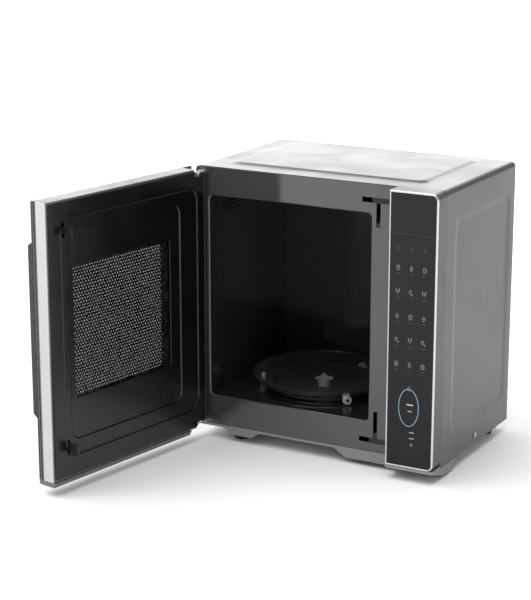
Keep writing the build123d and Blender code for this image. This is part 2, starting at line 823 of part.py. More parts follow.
# Door frame: moulded surround with a web behind the glass, hinge bosses and notched corners
glass_seat = door_thickness - door_glass_thickness
pocket_depth = glass_seat - frame_web
latch_w = slot_x - door_left - 0.5
spring_low = base + spring_height
spring_top = spring_low + spring_length
handle_screw_heights = (handle_bottom + handle_run / 2, handle_top - handle_run / 2)
boss_radius = min(hinge_inset - 0.9, hinge_forward - liner_thickness - 0.2)
with BuildPart() as door_frame:
    door_block((0, door_width), (door_bottom, door_top), (liner_thickness, glass_seat))
    door_block(
        (door_wall, door_width - door_wall),
        (door_bottom + door_wall, door_top - door_wall),
        (liner_thickness + 2, pocket_depth),
        mode=Mode.SUBTRACT,
    )
    door_block(
        (frame_lip, door_width - frame_lip),
        (door_bottom + frame_lip, door_top - frame_lip),
        (liner_thickness, liner_thickness + 2),
        mode=Mode.SUBTRACT,
    )
    door_block(
        (window_left - frame_window_margin, window_right + frame_window_margin),
        (window_bottom - frame_window_margin, window_top + frame_window_margin),
        (pocket_depth, glass_seat),
        mode=Mode.SUBTRACT,
    )
    for inner, outer, boss in (
        (notch_top - door_wall, door_top, (notch_top - boss_length, notch_top)),
        (door_bottom, notch_bottom + door_wall, (notch_bottom, notch_bottom + boss_length)),
    ):
        door_block((0, hinge_notch_width + door_wall), (inner, outer), (liner_thickness, glass_seat))
        door_upright(hinge_inset, hinge_forward, boss, boss_radius)
    for low, high in ((notch_top, door_top), (door_bottom, notch_bottom)):
        door_block(
            (0, hinge_notch_width),
            (low, high),
            (liner_thickness, glass_seat - 1.5),
            mode=Mode.SUBTRACT,
        )
    for low, high in (
        (notch_top - hinge_pin_length - 1, notch_top + 1),
        (notch_bottom - 1, notch_bottom + hinge_pin_length + 1),
    ):
        door_upright(
            hinge_inset,
            hinge_forward,
            (low, high),
            hinge_pin_radius + hinge_running_gap,
            mode=Mode.SUBTRACT,
        )
    door_block(
        (door_width - edge_trim_thickness, door_width),
        (door_bottom, door_top),
        (liner_thickness + 1, pocket_depth - 4),
        mode=Mode.SUBTRACT,
    )
    door_block(
        (door_width - edge_groove_depth, door_width),
        (door_bottom, door_top),
        (pocket_depth - 2, pocket_depth + 1),
        mode=Mode.SUBTRACT,
    )
    door_block(around(latch_w, 10), (spring_top, spring_top + 4), (12, pocket_depth))
    for screw_z in handle_screw_heights:
        door_block(
            around(handle_centre, handle_width),
            around(screw_z, handle_width),
            (pocket_depth - 2, pocket_depth),
        )
        with Locations(door_face.location * Location((handle_centre, screw_z, pocket_depth))):
            Cylinder(handle_screw_radius + handle_screw_gap, 12, mode=Mode.SUBTRACT)
write(door_frame, "door_frame")

# Bright strip let into the door's free edge
with BuildPart() as door_edge_trim:
    door_block(
        (door_width - edge_trim_thickness, door_width),
        (door_bottom, door_top),
        (liner_thickness + 1, pocket_depth - 4),
    )
write(door_edge_trim, "door_edge_trim")

# Bottom rail under the door, stopping short of the lower hinge
with BuildPart() as door_bottom_rail:
    with BuildSketch(door_section(bottom_rail_start)):
        Polygon(
            (0, door_bottom),
            (0, door_bottom - 3),
            (2.5, door_bottom - 5),
            (2.5, door_bottom - bottom_rail_drop),
            (door_thickness - 2, door_bottom - bottom_rail_drop),
            (door_thickness, door_bottom - bottom_rail_drop + 2),
            (door_thickness, door_bottom),
            align=None,
        )
    extrude(amount=-(door_width - bottom_rail_start))
write(door_bottom_rail, "door_bottom_rail")

# Glass face of the door
with BuildPart() as door_glass:
    with BuildSketch(door_face.offset(glass_seat)):
        with Locations((door_width / 2, (door_bottom + door_top) / 2)):
            RectangleRounded(door_width, door_top - door_bottom, 2.0)
    extrude(amount=door_glass_thickness)
    for screw_z in handle_screw_heights:
        with Locations(door_face.location * Location((handle_centre, screw_z, glass_seat))):
            Cylinder(handle_screw_radius + handle_screw_gap, 12, mode=Mode.SUBTRACT)
write(door_glass, "door_glass")

# Steel choke pan behind the liner, and the screen sheet that closes its window
pan_bottom = door_bottom + screen_margin
pan_top = door_top - screen_margin
with BuildPart() as choke_pan:
    door_block(
        (screen_margin, screen_right),
        (pan_bottom, pan_top),
        (screen_depth, screen_depth + screen_flange),
    )
    door_block(
        (screen_margin + screen_steel, screen_right - screen_steel),
        (pan_bottom + screen_steel, pan_top - screen_steel),
        (screen_depth + screen_steel, screen_depth + screen_flange),
        mode=Mode.SUBTRACT,
    )
    door_block(
        (window_left, window_right),
        (window_bottom, window_top),
        (screen_depth, screen_depth + screen_steel),
        mode=Mode.SUBTRACT,
    )
    for low, high in ((pan_bottom, notch_bottom + 4), (notch_top - 4, pan_top)):
        door_block((0, hinge_notch_width + 6), (low, high), (0, glass_seat), mode=Mode.SUBTRACT)
    for low, high in (
        (pan_bottom, notch_bottom + boss_length + 2),
        (notch_top - boss_length - 2, pan_top),
    ):
        door_block((0, hinge_inset + 9), (low, high), (0, glass_seat), mode=Mode.SUBTRACT)
write(choke_pan, "choke_pan")

with BuildPart() as window_screen:
    door_block(
        (window_left - screen_overlap, window_right + screen_overlap),
        (window_bottom - screen_overlap, window_top + screen_overlap),
        (screen_depth + screen_steel, screen_depth + screen_steel + screen_sheet),
    )
write(window_screen, "window_screen")

# Clear film over the inside of the window
with BuildPart() as window_film:
    door_block(
        (window_left - screen_overlap, window_right + screen_overlap),
        (window_bottom - screen_overlap, window_top + screen_overlap),
        (liner_thickness + film_gap, liner_thickness + film_gap + film_thickness),
    )
write(window_film, "window_film")

# Moulded inner liner over the choke, with the window and the two latch slots
with BuildPart() as door_liner:
    with BuildSketch(door_face):
        with Locations((door_width / 2, (door_bottom + door_top) / 2)):
            RectangleRounded(
                door_width - 2 * liner_margin,
                door_top - door_bottom - 2 * liner_margin,
                4,
            )
        with Locations(
            ((window_left + window_right) / 2, (window_bottom + window_top) / 2)
        ):
            RectangleRounded(
                window_right - window_left,
                window_top - window_bottom,
                window_corner,
                mode=Mode.SUBTRACT,
            )
    extrude(amount=liner_thickness)
    for low, high in ((notch_top, door_top), (door_bottom, notch_bottom)):
        door_block((0, hinge_notch_width), (low, high), (0, liner_thickness), mode=Mode.SUBTRACT)
    for claw_z in (upper_latch_z, lower_latch_z):
        door_block(
            around(latch_w, latch_thickness + 2),
            (claw_z - latch_claw_drop - 2, claw_z + 14 + latch_lift),
            (0, liner_thickness),
            mode=Mode.SUBTRACT,
        )
write(door_liner, "door_liner")

# Handle: a bowed bar with sloped ends, screwed on through the glass
handle_back = door_thickness
handle_front = door_thickness + handle_clearance + handle_thickness
with BuildPart() as door_handle:
    with BuildSketch(door_section(handle_centre + handle_width / 2)) as handle_outline:
        Polygon(
            (handle_back, handle_bottom),
            (handle_front, handle_bottom + handle_run + 4),
            (handle_front, handle_top - handle_run),
            (handle_back, handle_top),
            (handle_back, handle_top - handle_run),
            (handle_front - handle_thickness, handle_top - handle_run - 10),
            (handle_front - handle_thickness, handle_bottom + handle_run + 14),
            (handle_back, handle_bottom + handle_run),
            align=None,
        )
        fillet(
            handle_outline.vertices().filter_by(
                lambda v: handle_bottom + 1 < v.Z < handle_top - 1
                and abs(v.Z - handle_bottom - handle_run) > 1
                and abs(v.Z - handle_top + handle_run) > 1
            ),
            6,
        )
    extrude(amount=handle_width)
    for screw_z in handle_screw_heights:
        with Locations(door_face.location * Location((handle_centre, screw_z, handle_back))):
            Cylinder(handle_screw_radius + handle_screw_gap / 2, 8, mode=Mode.SUBTRACT)
write(door_handle, "door_handle")

# Two screws that hold the handle, with their heads inside the frame
with BuildPart() as handle_screws:
    for screw_z in handle_screw_heights:
        shank = handle_back + handle_screw_bite - pocket_depth + 2
        with Locations(
            door_face.location
            * Location((handle_centre, screw_z, pocket_depth - 2 + shank / 2))
        ):
            Cylinder(handle_screw_radius, shank)
        with Locations(
            door_face.location
            * Location((handle_centre, screw_z, pocket_depth - 2 - handle_head_height / 2))
        ):
            Cylinder(2 * handle_screw_radius, handle_head_height)
write(handle_screws, "handle_screws")

# Latch: an upright bar behind the free edge with two claws that reach into the front plate
with BuildPart() as door_latch:
    door_block(
        around(latch_w, latch_thickness + 3),
        (lower_latch_z - 6, upper_latch_z + 14),
        (liner_thickness + 4, liner_thickness + 4 + latch_bar_depth),
    )
    for claw_z, claw_height in ((upper_latch_z, 10), (lower_latch_z, 14)):
        door_block(
            around(latch_w, latch_thickness),
            (claw_z, claw_z + claw_height),
            (-latch_reach, liner_thickness + 6),
        )
        door_block(
            around(latch_w, latch_thickness),
            (claw_z - latch_claw_drop, claw_z),
            (-latch_reach, -latch_reach + 7),
        )
    door_block(around(latch_w, 8), (spring_low - spring_lug, spring_low), (liner_thickness + 4, 20))
write(door_latch, "door_latch")

# Coil spring that pushes the latch down from a lug on the frame
spring_foot = (door_face.location * Location((latch_w, 0, spring_depth))).position
coil_height = spring_length - 2 * spring_wire
with BuildPart() as latch_spring:
    with BuildLine(Plane(origin=(spring_foot.X, spring_foot.Y, spring_low + spring_wire))):
        coil = Helix(coil_height / spring_turns, coil_height, spring_radius)
    with BuildSketch(Plane(origin=coil @ 0, z_dir=coil % 0)):
        Circle(spring_wire)
    sweep()
write(latch_spring, "latch_spring")

# ---------------------------------------------------------------- turntable

wheel_centre_z = cavity_floor_z + fit_gap + wheel_radius
tray_bottom = wheel_centre_z + wheel_radius + fit_gap
motor_top = cavity_floor_z - cavity_steel - 1.0
turn_centre = (cavity_centre_x, cavity_centre_y)

# Turntable motor under the cavity floor, with a bore for the coupler's shaft
with BuildPart() as turntable_motor:
    with BuildSketch(Plane.XY.offset(motor_top - turntable_motor_height)):
        with Locations(turn_centre):
            Circle(turntable_motor_radius)
            with Locations((0, 0)):
                SlotOverall(2 * turntable_motor_radius + 16, 14)
    extrude(amount=turntable_motor_height)
    with Locations((*turn_centre, motor_top)):
        Cylinder(coupler_shaft_radius + 0.05, 16, mode=Mode.SUBTRACT)
write(turntable_motor, "turntable_motor")

# Coupler: shaft, hub and three drive lobes that turn the tray
hub_low = cavity_floor_z + 0.5
lobe_top = tray_bottom - fit_gap
with BuildPart() as tray_coupler:
    with BuildSketch(Plane.XY.offset(motor_top - 7)):
        with Locations(turn_centre):
            Circle(coupler_shaft_radius)
    extrude(amount=hub_low - motor_top + 8)
    with BuildSketch(Plane.XY.offset(hub_low)):
        with Locations(turn_centre):
            Circle(coupler_hole_radius + 1.5)
    extrude(amount=lobe_top - hub_low - 3)
    with BuildSketch(Plane.XY.offset(lobe_top - 4)):
        with Locations(turn_centre):
            Circle(6)
            with PolarLocations(9, 3):
                SlotOverall(14, 6)
    extrude(amount=4)
write(tray_coupler, "tray_coupler")

# Glass tray: a dished disc with a raised rim
tray_top = tray_bottom + tray_thickness
with BuildPart() as glass_tray:
    with BuildSketch(Plane.XZ.offset(-cavity_centre_y)):
        Polygon(
            (cavity_centre_x, tray_bottom),
            (cavity_centre_x + tray_radius - 14, tray_bottom),
            (cavity_centre_x + tray_radius, tray_bottom + tray_rise - 2),
            (cavity_centre_x + tray_radius, tray_bottom + tray_rise),
            (cavity_centre_x + tray_radius - 4, tray_bottom + tray_rise),
            (cavity_centre_x + tray_radius - 16, tray_top),
            (cavity_centre_x, tray_top),
            align=None,
        )
    revolve(axis=Axis((*turn_centre, 0), (0, 0, 1)))
write(glass_tray, "glass_tray")

# Roller ring: a flat ring with three stub axles
with BuildPart() as roller_ring:
    with BuildSketch(Plane.XY.offset(wheel_centre_z - ring_height / 2)):
        with Locations(turn_centre):
            Circle(ring_radius + ring_width / 2)
            Circle(ring_radius - ring_width / 2, mode=Mode.SUBTRACT)
    extrude(amount=ring_height)
    for turn in (0, 120, 240):
        angle = wheel_first_angle + turn
        outward = Vector(cos(radians(angle)), sin(radians(angle)), 0)
        centre = Vector(*turn_centre, wheel_centre_z)
        axle = Plane(origin=centre + outward * (ring_radius + 1), z_dir=outward)
        with BuildSketch(axle):
            Circle(wheel_axle_radius)
        extrude(amount=wheel_track + wheel_width / 2 - ring_radius + 0.5)
write(roller_ring, "roller_ring")

# Three wheels that run on the stub axles, between the floor and the tray
for number, turn in enumerate((0, 120, 240), 1):
    angle = wheel_first_angle + turn
    outward = Vector(cos(radians(angle)), sin(radians(angle)), 0)
    centre = Vector(*turn_centre, wheel_centre_z)
    with BuildPart() as roller_wheel:
        with BuildSketch(Plane(origin=centre + outward * (wheel_track - wheel_width / 2), z_dir=outward)):
            Circle(wheel_radius)
            Circle(wheel_axle_radius + 0.05, mode=Mode.SUBTRACT)
        extrude(amount=wheel_width)
        chamfer(roller_wheel.edges().filter_by(GeomType.CIRCLE).sort_by(SortBy.RADIUS)[-2:], 0.6)
    write(roller_wheel, f"roller_wheel_{number}")

# ---------------------------------------------------------------- electronics bay

# Waveguide: a steel duct on the outside of the cavity wall, open towards the port
guide_z = around(port_centre_z, port_height + 34)
guide_y = around(cavity_centre_y, port_width + 20)
guide_right = bay_left + guide_depth
with BuildPart() as waveguide:
    block((bay_left, guide_right), guide_y, guide_z)
    block(
        (bay_left, guide_right - guide_steel),
        (guide_y[0] + guide_steel, guide_y[1] - guide_steel),
        (guide_z[0] + guide_steel, guide_z[1] - guide_steel),
        mode=Mode.SUBTRACT,
    )
    with Locations(Location((guide_right, cavity_centre_y, port_centre_z), (0, 90, 0))):
        Cylinder(antenna_radius + 1, 6, mode=Mode.SUBTRACT)
write(waveguide, "waveguide")

# Magnetron: steel yoke, finned anode and filter box
yoke_left = guide_right
yoke_right = yoke_left + magnetron_length
yoke_y = around(cavity_centre_y, magnetron_width)
yoke_z = around(port_centre_z, magnetron_height)
with BuildPart() as magnetron_yoke:
    block((yoke_left, yoke_right), yoke_y, yoke_z)
    block(
        (yoke_left + magnetron_yoke_steel, yoke_right - magnetron_yoke_steel),
        yoke_y,
        (yoke_z[0] + magnetron_yoke_steel, yoke_z[1] - magnetron_yoke_steel),
        mode=Mode.SUBTRACT,
    )
    with Locations(Location((yoke_left, cavity_centre_y, port_centre_z), (0, 90, 0))):
        Cylinder(antenna_radius + 1, 6, mode=Mode.SUBTRACT)
write(magnetron_yoke, "magnetron_yoke")

anode_left = yoke_left + magnetron_yoke_steel + 6
anode_right = yoke_right - magnetron_yoke_steel - 6
with BuildPart() as magnetron_anode:
    with BuildSketch(Plane.YZ.offset(yoke_left + magnetron_yoke_steel + 0.2)):
        with Locations((cavity_centre_y, port_centre_z)):
            Circle(anode_radius)
    extrude(amount=anode_right + 5.6 - yoke_left - magnetron_yoke_steel)
    with BuildSketch(Plane.YZ.offset(guide_right - 20)):
        with Locations((cavity_centre_y, port_centre_z)):
            Circle(antenna_radius)
    extrude(amount=24)
write(magnetron_anode, "magnetron_anode")

with BuildPart() as cooling_fins:
    for index in range(fin_count):
        fin_x = anode_left + (anode_right - anode_left) * index / (fin_count - 1)
        with BuildSketch(Plane.YZ.offset(fin_x)):
            with Locations((cavity_centre_y, port_centre_z)):
                Rectangle(magnetron_width - 4, magnetron_height - 2 * magnetron_yoke_steel - 1)
                Circle(anode_radius + 0.1, mode=Mode.SUBTRACT)
        extrude(amount=fin_thickness)
write(cooling_fins, "cooling_fins")

with BuildPart() as filter_box:
    block(
        (yoke_right + 0.1, yoke_right + filter_box_length),
        around(cavity_centre_y, magnetron_width - 14),
        around(port_centre_z, magnetron_height - 16),
    )
    block((yoke_right + 6, yoke_right + 18), around(cavity_centre_y, 20), around(port_centre_z - 28, 12))
write(filter_box, "filter_box")

# High-voltage transformer: laminated core and its two windings
core_x = around(transformer_x, 74)
core_y = around(transformer_y, 58)
core_z = (base_top + 1, base_top + 63)
with BuildPart() as transformer_core:
    block(core_x, core_y, core_z)
    for window in (-1, 1):
        block(
            around(transformer_x + window * 19, 14),
            core_y,
            (core_z[0] + 12, core_z[1] - 12),
            mode=Mode.SUBTRACT,
        )
    block((core_x[0] - 8, core_x[1] + 8), core_y, (base_top, base_top + 2))
write(transformer_core, "transformer_core")

with BuildPart() as transformer_windings:
    for high, low in ((33, 20), (18, 5)):
        with BuildSketch(Plane.XY.offset(core_z[0] + 12.5 + low - 5)):
            with Locations((transformer_x, transformer_y)):
                RectangleRounded(51.4, 84, 12)
                RectangleRounded(24.6, 58.6, 0.2, mode=Mode.SUBTRACT)
        extrude(amount=high - low)
write(transformer_windings, "transformer_windings")

# High-voltage capacitor with its clamp and diode
capacitor_top = base_top + 93
with BuildPart() as capacitor:
    with BuildSketch(Plane.XY.offset(base_top + 1)):
        with Locations((capacitor_x, capacitor_y)):
            SlotOverall(50, 32)
    extrude(amount=capacitor_top - base_top - 1)
    for terminal_x in (capacitor_x - 10, capacitor_x + 10):
        block(around(terminal_x, 6), around(capacitor_y, 1), (capacitor_top, capacitor_top + 8))
write(capacitor, "capacitor")

with BuildPart() as capacitor_clamp:
    with BuildSketch(Plane.XY.offset(base_top + 40)):
        with Locations((capacitor_x, capacitor_y)):
            SlotOverall(52.4, 34.4)
            SlotOverall(50.4, 32.4, mode=Mode.SUBTRACT)
    extrude(amount=14)
    block(
        (capacitor_x - 14, capacitor_x + 14),
        (capacitor_y + 16.4, capacitor_y + 17.4),
        (base_top, base_top + 44),
    )
write(capacitor_clamp, "capacitor_clamp")

with BuildPart() as hv_diode:
    with Locations(Location((capacitor_x - 2, capacitor_y - 24, base_top + 70), (0, 90, 0))):
        Cylinder(4, 16)
        Cylinder(0.7, 40)
write(hv_diode, "hv_diode")

# Cooling fan: shroud on the rear panel, motor on its arms, and the blade wheel
shroud_y = (rear_face - cover_steel - fan_frame_depth, rear_face - cover_steel)
shroud_size = 2 * (fan_radius + fan_frame_margin)
with BuildPart() as fan_shroud:
    block(around(fan_centre_x, shroud_size), shroud_y, around(fan_centre_z, shroud_size))
    with Locations(Location((fan_centre_x, shroud_y[1], fan_centre_z), (90, 0, 0))):
        Cylinder(fan_radius + 2, 60, mode=Mode.SUBTRACT)
    for arm_x in (fan_centre_x - 20, fan_centre_x + 20):
        block(
            around(arm_x, 6),
            (shroud_y[0] - 2.5, shroud_y[0]),
            around(fan_centre_z, shroud_size),
        )
write(fan_shroud, "fan_shroud")

motor_y = (shroud_y[0] - fan_motor_depth - 2.8, shroud_y[0] - 2.8)
with BuildPart() as fan_motor:
    block(around(fan_centre_x, 52), motor_y, around(fan_centre_z, 44))
    with Locations(Location((fan_centre_x, motor_y[1], fan_centre_z), (90, 0, 0))):
        Cylinder(fan_shaft_radius + 0.05, 30, mode=Mode.SUBTRACT)
write(fan_motor, "fan_motor")

with BuildPart() as fan_blade:
    with BuildSketch(Plane.XZ.offset(-(shroud_y[0] + 4))):
        with Locations((fan_centre_x, fan_centre_z)):
            Circle(11)
    extrude(amount=-14)
    with BuildSketch(Plane.XZ.offset(-(motor_y[1] - 12))):
        with Locations((fan_centre_x, fan_centre_z)):
            Circle(fan_shaft_radius)
    extrude(amount=-(shroud_y[0] + 10 - motor_y[1] + 12))
    for index in range(fan_blade_count):
        turn = 360 / fan_blade_count * index
        pitch = (
            Location((fan_centre_x, shroud_y[0] + 11, fan_centre_z))
            * Location((0, 0, 0), (0, turn, 0))
            * Location((fan_radius / 2 + 3, 0, 0), (32, 0, 0))
        )
        with Locations(pitch):
            Box(fan_radius - 12, 1.6, 22)
write(fan_blade, "fan_blade")

# Cavity lamp in its holder
with BuildPart() as lamp_holder:
    block((bay_left + 0.1, bay_left + 26), around(lamp_y, 34), around(lamp_z, 34))
    block(
        (bay_left + 0.1, bay_left + 20),
        around(lamp_y, 28),
        around(lamp_z, 28),
        mode=Mode.SUBTRACT,
    )
write(lamp_holder, "lamp_holder")

bulb_tip = bay_left + 5
with BuildPart() as lamp_bulb:
    with BuildSketch(Plane.XY.offset(lamp_z)):
        with BuildLine():
            ThreePointArc((bulb_tip, lamp_y), (bulb_tip + 2, lamp_y + 5), (bulb_tip + 7, lamp_y + 7))
            Polyline(
                (bulb_tip + 7, lamp_y + 7),
                (bulb_tip + 11, lamp_y + 4.5),
                (bulb_tip + 14.8, lamp_y + 4.5),
                (bulb_tip + 14.8, lamp_y),
                (bulb_tip, lamp_y),
            )
        make_face()
    revolve(axis=Axis((0, lamp_y, lamp_z), (1, 0, 0)))
write(lamp_bulb, "lamp_bulb")

# Two thermal cut-outs: one on the magnetron yoke and one on the cavity roof
with BuildPart() as thermal_cutouts:
    with Locations(
        ((yoke_left + 24), cavity_centre_y, yoke_z[1] + 3),
        (cavity_right - 40, cavity_centre_y + 60, cavity_top_z + cavity_steel + 3),
    ):
        Cylinder(8, 6)
write(thermal_cutouts, "thermal_cutouts")

# Mains filter board with its fuse, beside the cavity's upper rear corner
filter_board_left = right - 95
filter_board_z = top - 55
filter_board_top = filter_board_z + board_thickness
with BuildPart() as filter_board:
    block(
        (filter_board_left, right - 15),
        (rear_face - 60, rear_face - 10),
        (filter_board_z, filter_board_top),
    )
    for x0, y0, wide, deep, high in ((5, -55, 18, 18, 22), (30, -50, 22, 22, 26), (60, -48, 10, 30, 12)):
        block(
            (filter_board_left + x0, filter_board_left + x0 + wide),
            (rear_face + y0, rear_face + y0 + deep),
            (filter_board_top, filter_board_top + high),
        )
    with Locations(Location((filter_board_left + 25, rear_face - 17, filter_board_top + 2.8), (0, 90, 0))):
        Cylinder(3.2, 24)
write(filter_board, "filter_board")

# Interlock bracket behind the latch slots, with three switches and their plungers
bracket_y = (plate_back + 0.3, plate_back + 3.5)
with BuildPart() as interlock_bracket:
    block((bay_left + 0.5, panel_left - 3), bracket_y, (base + 16, top - 14))
    for low, high in ((upper_latch_z - 9, upper_latch_z + 22), (lower_latch_z - 9, lower_latch_z + 26)):
        block(around(slot_x, slot_width), bracket_y, (low, high), mode=Mode.SUBTRACT)
    for edge_x in (bay_left + 0.5, panel_left - 5):
        block((edge_x, edge_x + 2), (bracket_y[0], bracket_y[1] + 12), (base + 16, top - 14))
write(interlock_bracket, "interlock_bracket")

claw_tip_y = front - door_gap + latch_reach
switch_y = (claw_tip_y + 3.6, claw_tip_y + 19.6)
switch_heights = {
    "upper": upper_latch_z + 2,
    "lower": lower_latch_z,
    "monitor": lower_latch_z + 10.6,
}
with BuildPart() as door_switches:
    for height in switch_heights.values():
        block((slot_x - 9, slot_x + 18.8), switch_y, around(height, 10.2))
        with Locations(Location((slot_x, switch_y[0], height), (90, 0, 0))):
            Cylinder(switch_plunger_radius + switch_running_gap, 16, mode=Mode.SUBTRACT)
write(door_switches, "door_switches")

for name, places in (
    ("upper_switch_plunger", ("upper",)),
    ("lower_switch_plungers", ("lower", "monitor")),
):
    with BuildPart() as plunger:
        for place in places:
            height = switch_heights[place]
            with Locations(Location((slot_x, switch_y[0] + 1, height), (90, 0, 0))):
                Cylinder(switch_plunger_radius, 8.2)
    write(plunger, name)

# Screws: five through the rear flange and one low on each side
with BuildPart() as cover_screws:
    rear_screw_x = right - rear_flange / 2
    for x, z in (
        (-rear_screw_x, base + 60),
        (-rear_screw_x, top - 60),
        (rear_screw_x, base + 60),
        (rear_screw_x, top - 60),
        (0, top - rear_flange / 2),
    ):
        with Locations(Location((x, rear + 1.1, z), (90, 0, 0))):
            Cylinder(4, 2.2)
    for side in (-1, 1):
        with Locations(Location((side * (right + 1), side_screw_y, base + side_screw_z), (0, 90, 0))):
            Cylinder(4, 2)
write(cover_screws, "cover_screws")
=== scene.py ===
"""The looks of a countertop microwave oven with its door standing open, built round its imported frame."""

import json
from math import cos, pi, radians, sqrt

import bmesh
import bpy
from mathutils import Matrix, Vector


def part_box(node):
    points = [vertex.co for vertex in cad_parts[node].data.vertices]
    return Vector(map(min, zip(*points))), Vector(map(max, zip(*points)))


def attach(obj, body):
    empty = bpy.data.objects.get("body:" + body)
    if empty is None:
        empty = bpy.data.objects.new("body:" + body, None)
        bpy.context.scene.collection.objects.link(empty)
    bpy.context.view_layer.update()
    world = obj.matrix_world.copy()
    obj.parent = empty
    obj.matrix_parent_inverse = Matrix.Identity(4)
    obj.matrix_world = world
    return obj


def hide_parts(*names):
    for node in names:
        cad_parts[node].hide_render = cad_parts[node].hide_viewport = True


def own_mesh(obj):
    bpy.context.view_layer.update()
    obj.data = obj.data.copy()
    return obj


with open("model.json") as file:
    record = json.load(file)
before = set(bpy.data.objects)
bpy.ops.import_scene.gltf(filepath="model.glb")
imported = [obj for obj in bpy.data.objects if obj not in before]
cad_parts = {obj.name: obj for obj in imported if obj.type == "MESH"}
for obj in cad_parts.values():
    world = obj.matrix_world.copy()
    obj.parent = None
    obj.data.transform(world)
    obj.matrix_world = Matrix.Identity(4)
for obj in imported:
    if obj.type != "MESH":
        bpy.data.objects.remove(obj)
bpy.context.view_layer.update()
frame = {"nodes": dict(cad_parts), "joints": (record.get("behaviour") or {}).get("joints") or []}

# ---------------------------------------------------------------- camera
# The viewer stands to the right of the oven's front and a little above it, so that the control
# panel, the right side and the inside of the open door all show.
camera_data = bpy.data.cameras.new("camera")
camera_data.lens = 108.9
camera_data.clip_end = 80
camera = bpy.data.objects.new("camera", camera_data)
camera.location = (1.2782, -2.5963, 1.0056)
camera.rotation_euler = (radians(90 - 15.007), 0, radians(29.126))
bpy.context.scene.collection.objects.link(camera)
bpy.context.scene.camera = camera

# ---------------------------------------------------------------- studio
# A pale matt floor under one broad overhead light, with soft panels that give the glossy
# surfaces something to reflect.
bpy.ops.object.select_all(action="DESELECT")
bpy.ops.mesh.primitive_plane_add(size=60)
floor = bpy.context.object
floor.name = "studio_floor"
floor_paint = bpy.data.materials.new("studio_floor")
floor_paint.use_nodes = True
floor_shader = floor_paint.node_tree.nodes["Principled BSDF"]
floor_shader.inputs["Base Color"].default_value = (0.94, 0.94, 0.94, 1)
floor_shader.inputs["Roughness"].default_value = 0.9
floor_shader.inputs["Specular IOR Level"].default_value = 0.1
floor.data.materials.append(floor_paint)

world = bpy.data.worlds.new("studio")
world.use_nodes = True
world.node_tree.nodes["Background"].inputs["Color"].default_value = (1, 1, 1, 1)
world.node_tree.nodes["Background"].inputs["Strength"].default_value = 0.36
bpy.context.scene.world = world
bpy.context.scene.view_settings.view_transform = "Standard"

sun_data = bpy.data.lights.new("overhead", "SUN")
sun_data.energy = 2.7
sun_data.angle = radians(70)
sun = bpy.data.objects.new("overhead", sun_data)
sun.rotation_euler = (radians(14), radians(-10), 0)
bpy.context.scene.collection.objects.link(sun)


def softbox(name, place, aim, size, power):
    """A flat panel of light that faces the place aimed at."""
    data = bpy.data.lights.new(name, "AREA")
    data.shape = "RECTANGLE"
    data.size, data.size_y = size
    data.energy = power
    light = bpy.data.objects.new(name, data)
    light.location = place
    facing = Vector(aim) - Vector(place)
    light.rotation_euler = facing.to_track_quat("-Z", "Y").to_euler()
    bpy.context.scene.collection.objects.link(light)
    return light


softbox("left_panel", (-2.6, -2.2, 1.3), (-0.2, -0.2, 0.25), (1.2, 1.8), 26)
softbox("back_panel", (-1.4, 3.0, 1.2), (0, 0, 0.3), (3.2, 1.6), 46)
softbox("right_strip", (2.3, -1.35, 0.7), (0.2, -0.1, 0.25), (0.28, 1.5), 9)

# ---------------------------------------------------------------- cover
# One wrap-round sheet of steel, sprayed satin silver-grey. The raised field on top and the sunk
# field in each side are pressed, so the step round them is a soft slope and not a sharp edge.
mm = 0.001
nodes = frame["nodes"]
sheet_steel = 0.8 * mm


def node_group(name, inputs, outputs):
    """An empty shader group with its sockets, and its two end nodes."""
    group = bpy.data.node_groups.new(name, "ShaderNodeTree")
    for label, kind, value in inputs:
        socket = group.interface.new_socket(label, in_out="INPUT", socket_type=kind)
        if value is not None:
            socket.default_value = value
    for label, kind in outputs:
        group.interface.new_socket(label, in_out="OUTPUT", socket_type=kind)
    return group, group.nodes.new("NodeGroupInput"), group.nodes.new("NodeGroupOutput")


grain, grain_in, grain_out = node_group(
    "fine_grain",
    (
        ("Light", "NodeSocketColor", None),
        ("Dark", "NodeSocketColor", None),
        ("Grain", "NodeSocketFloat", 900.0),
        ("Smooth", "NodeSocketFloat", 0.3),
        ("Rough", "NodeSocketFloat", 0.4),
        ("Stretch", "NodeSocketVector", (1.0, 1.0, 1.0)),
    ),
    (
        ("Color", "NodeSocketColor"),
        ("Roughness", "NodeSocketFloat"),
        ("Height", "NodeSocketFloat"),
    ),
)
grain_place = grain.nodes.new("ShaderNodeTexCoord")
grain_scale = grain.nodes.new("ShaderNodeVectorMath")
grain_scale.operation = "MULTIPLY"
grain_noise = grain.nodes.new("ShaderNodeTexNoise")
grain_noise.inputs["Detail"].default_value = 3
cloud_noise = grain.nodes.new("ShaderNodeTexNoise")
cloud_noise.inputs["Scale"].default_value = 11
cloud_noise.inputs["Detail"].default_value = 4
cloud_noise.inputs["Distortion"].default_value = 0.5
tone = grain.nodes.new("ShaderNodeMix")
tone.data_type = "RGBA"
both = grain.nodes.new("ShaderNodeMath")
both.operation = "ADD"
half = grain.nodes.new("ShaderNodeMath")
half.operation = "MULTIPLY"
half.inputs[1].default_value = 0.5
gloss = grain.nodes.new("ShaderNodeMapRange")
gloss.inputs["From Min"].default_value = 0.35
gloss.inputs["From Max"].default_value = 0.65
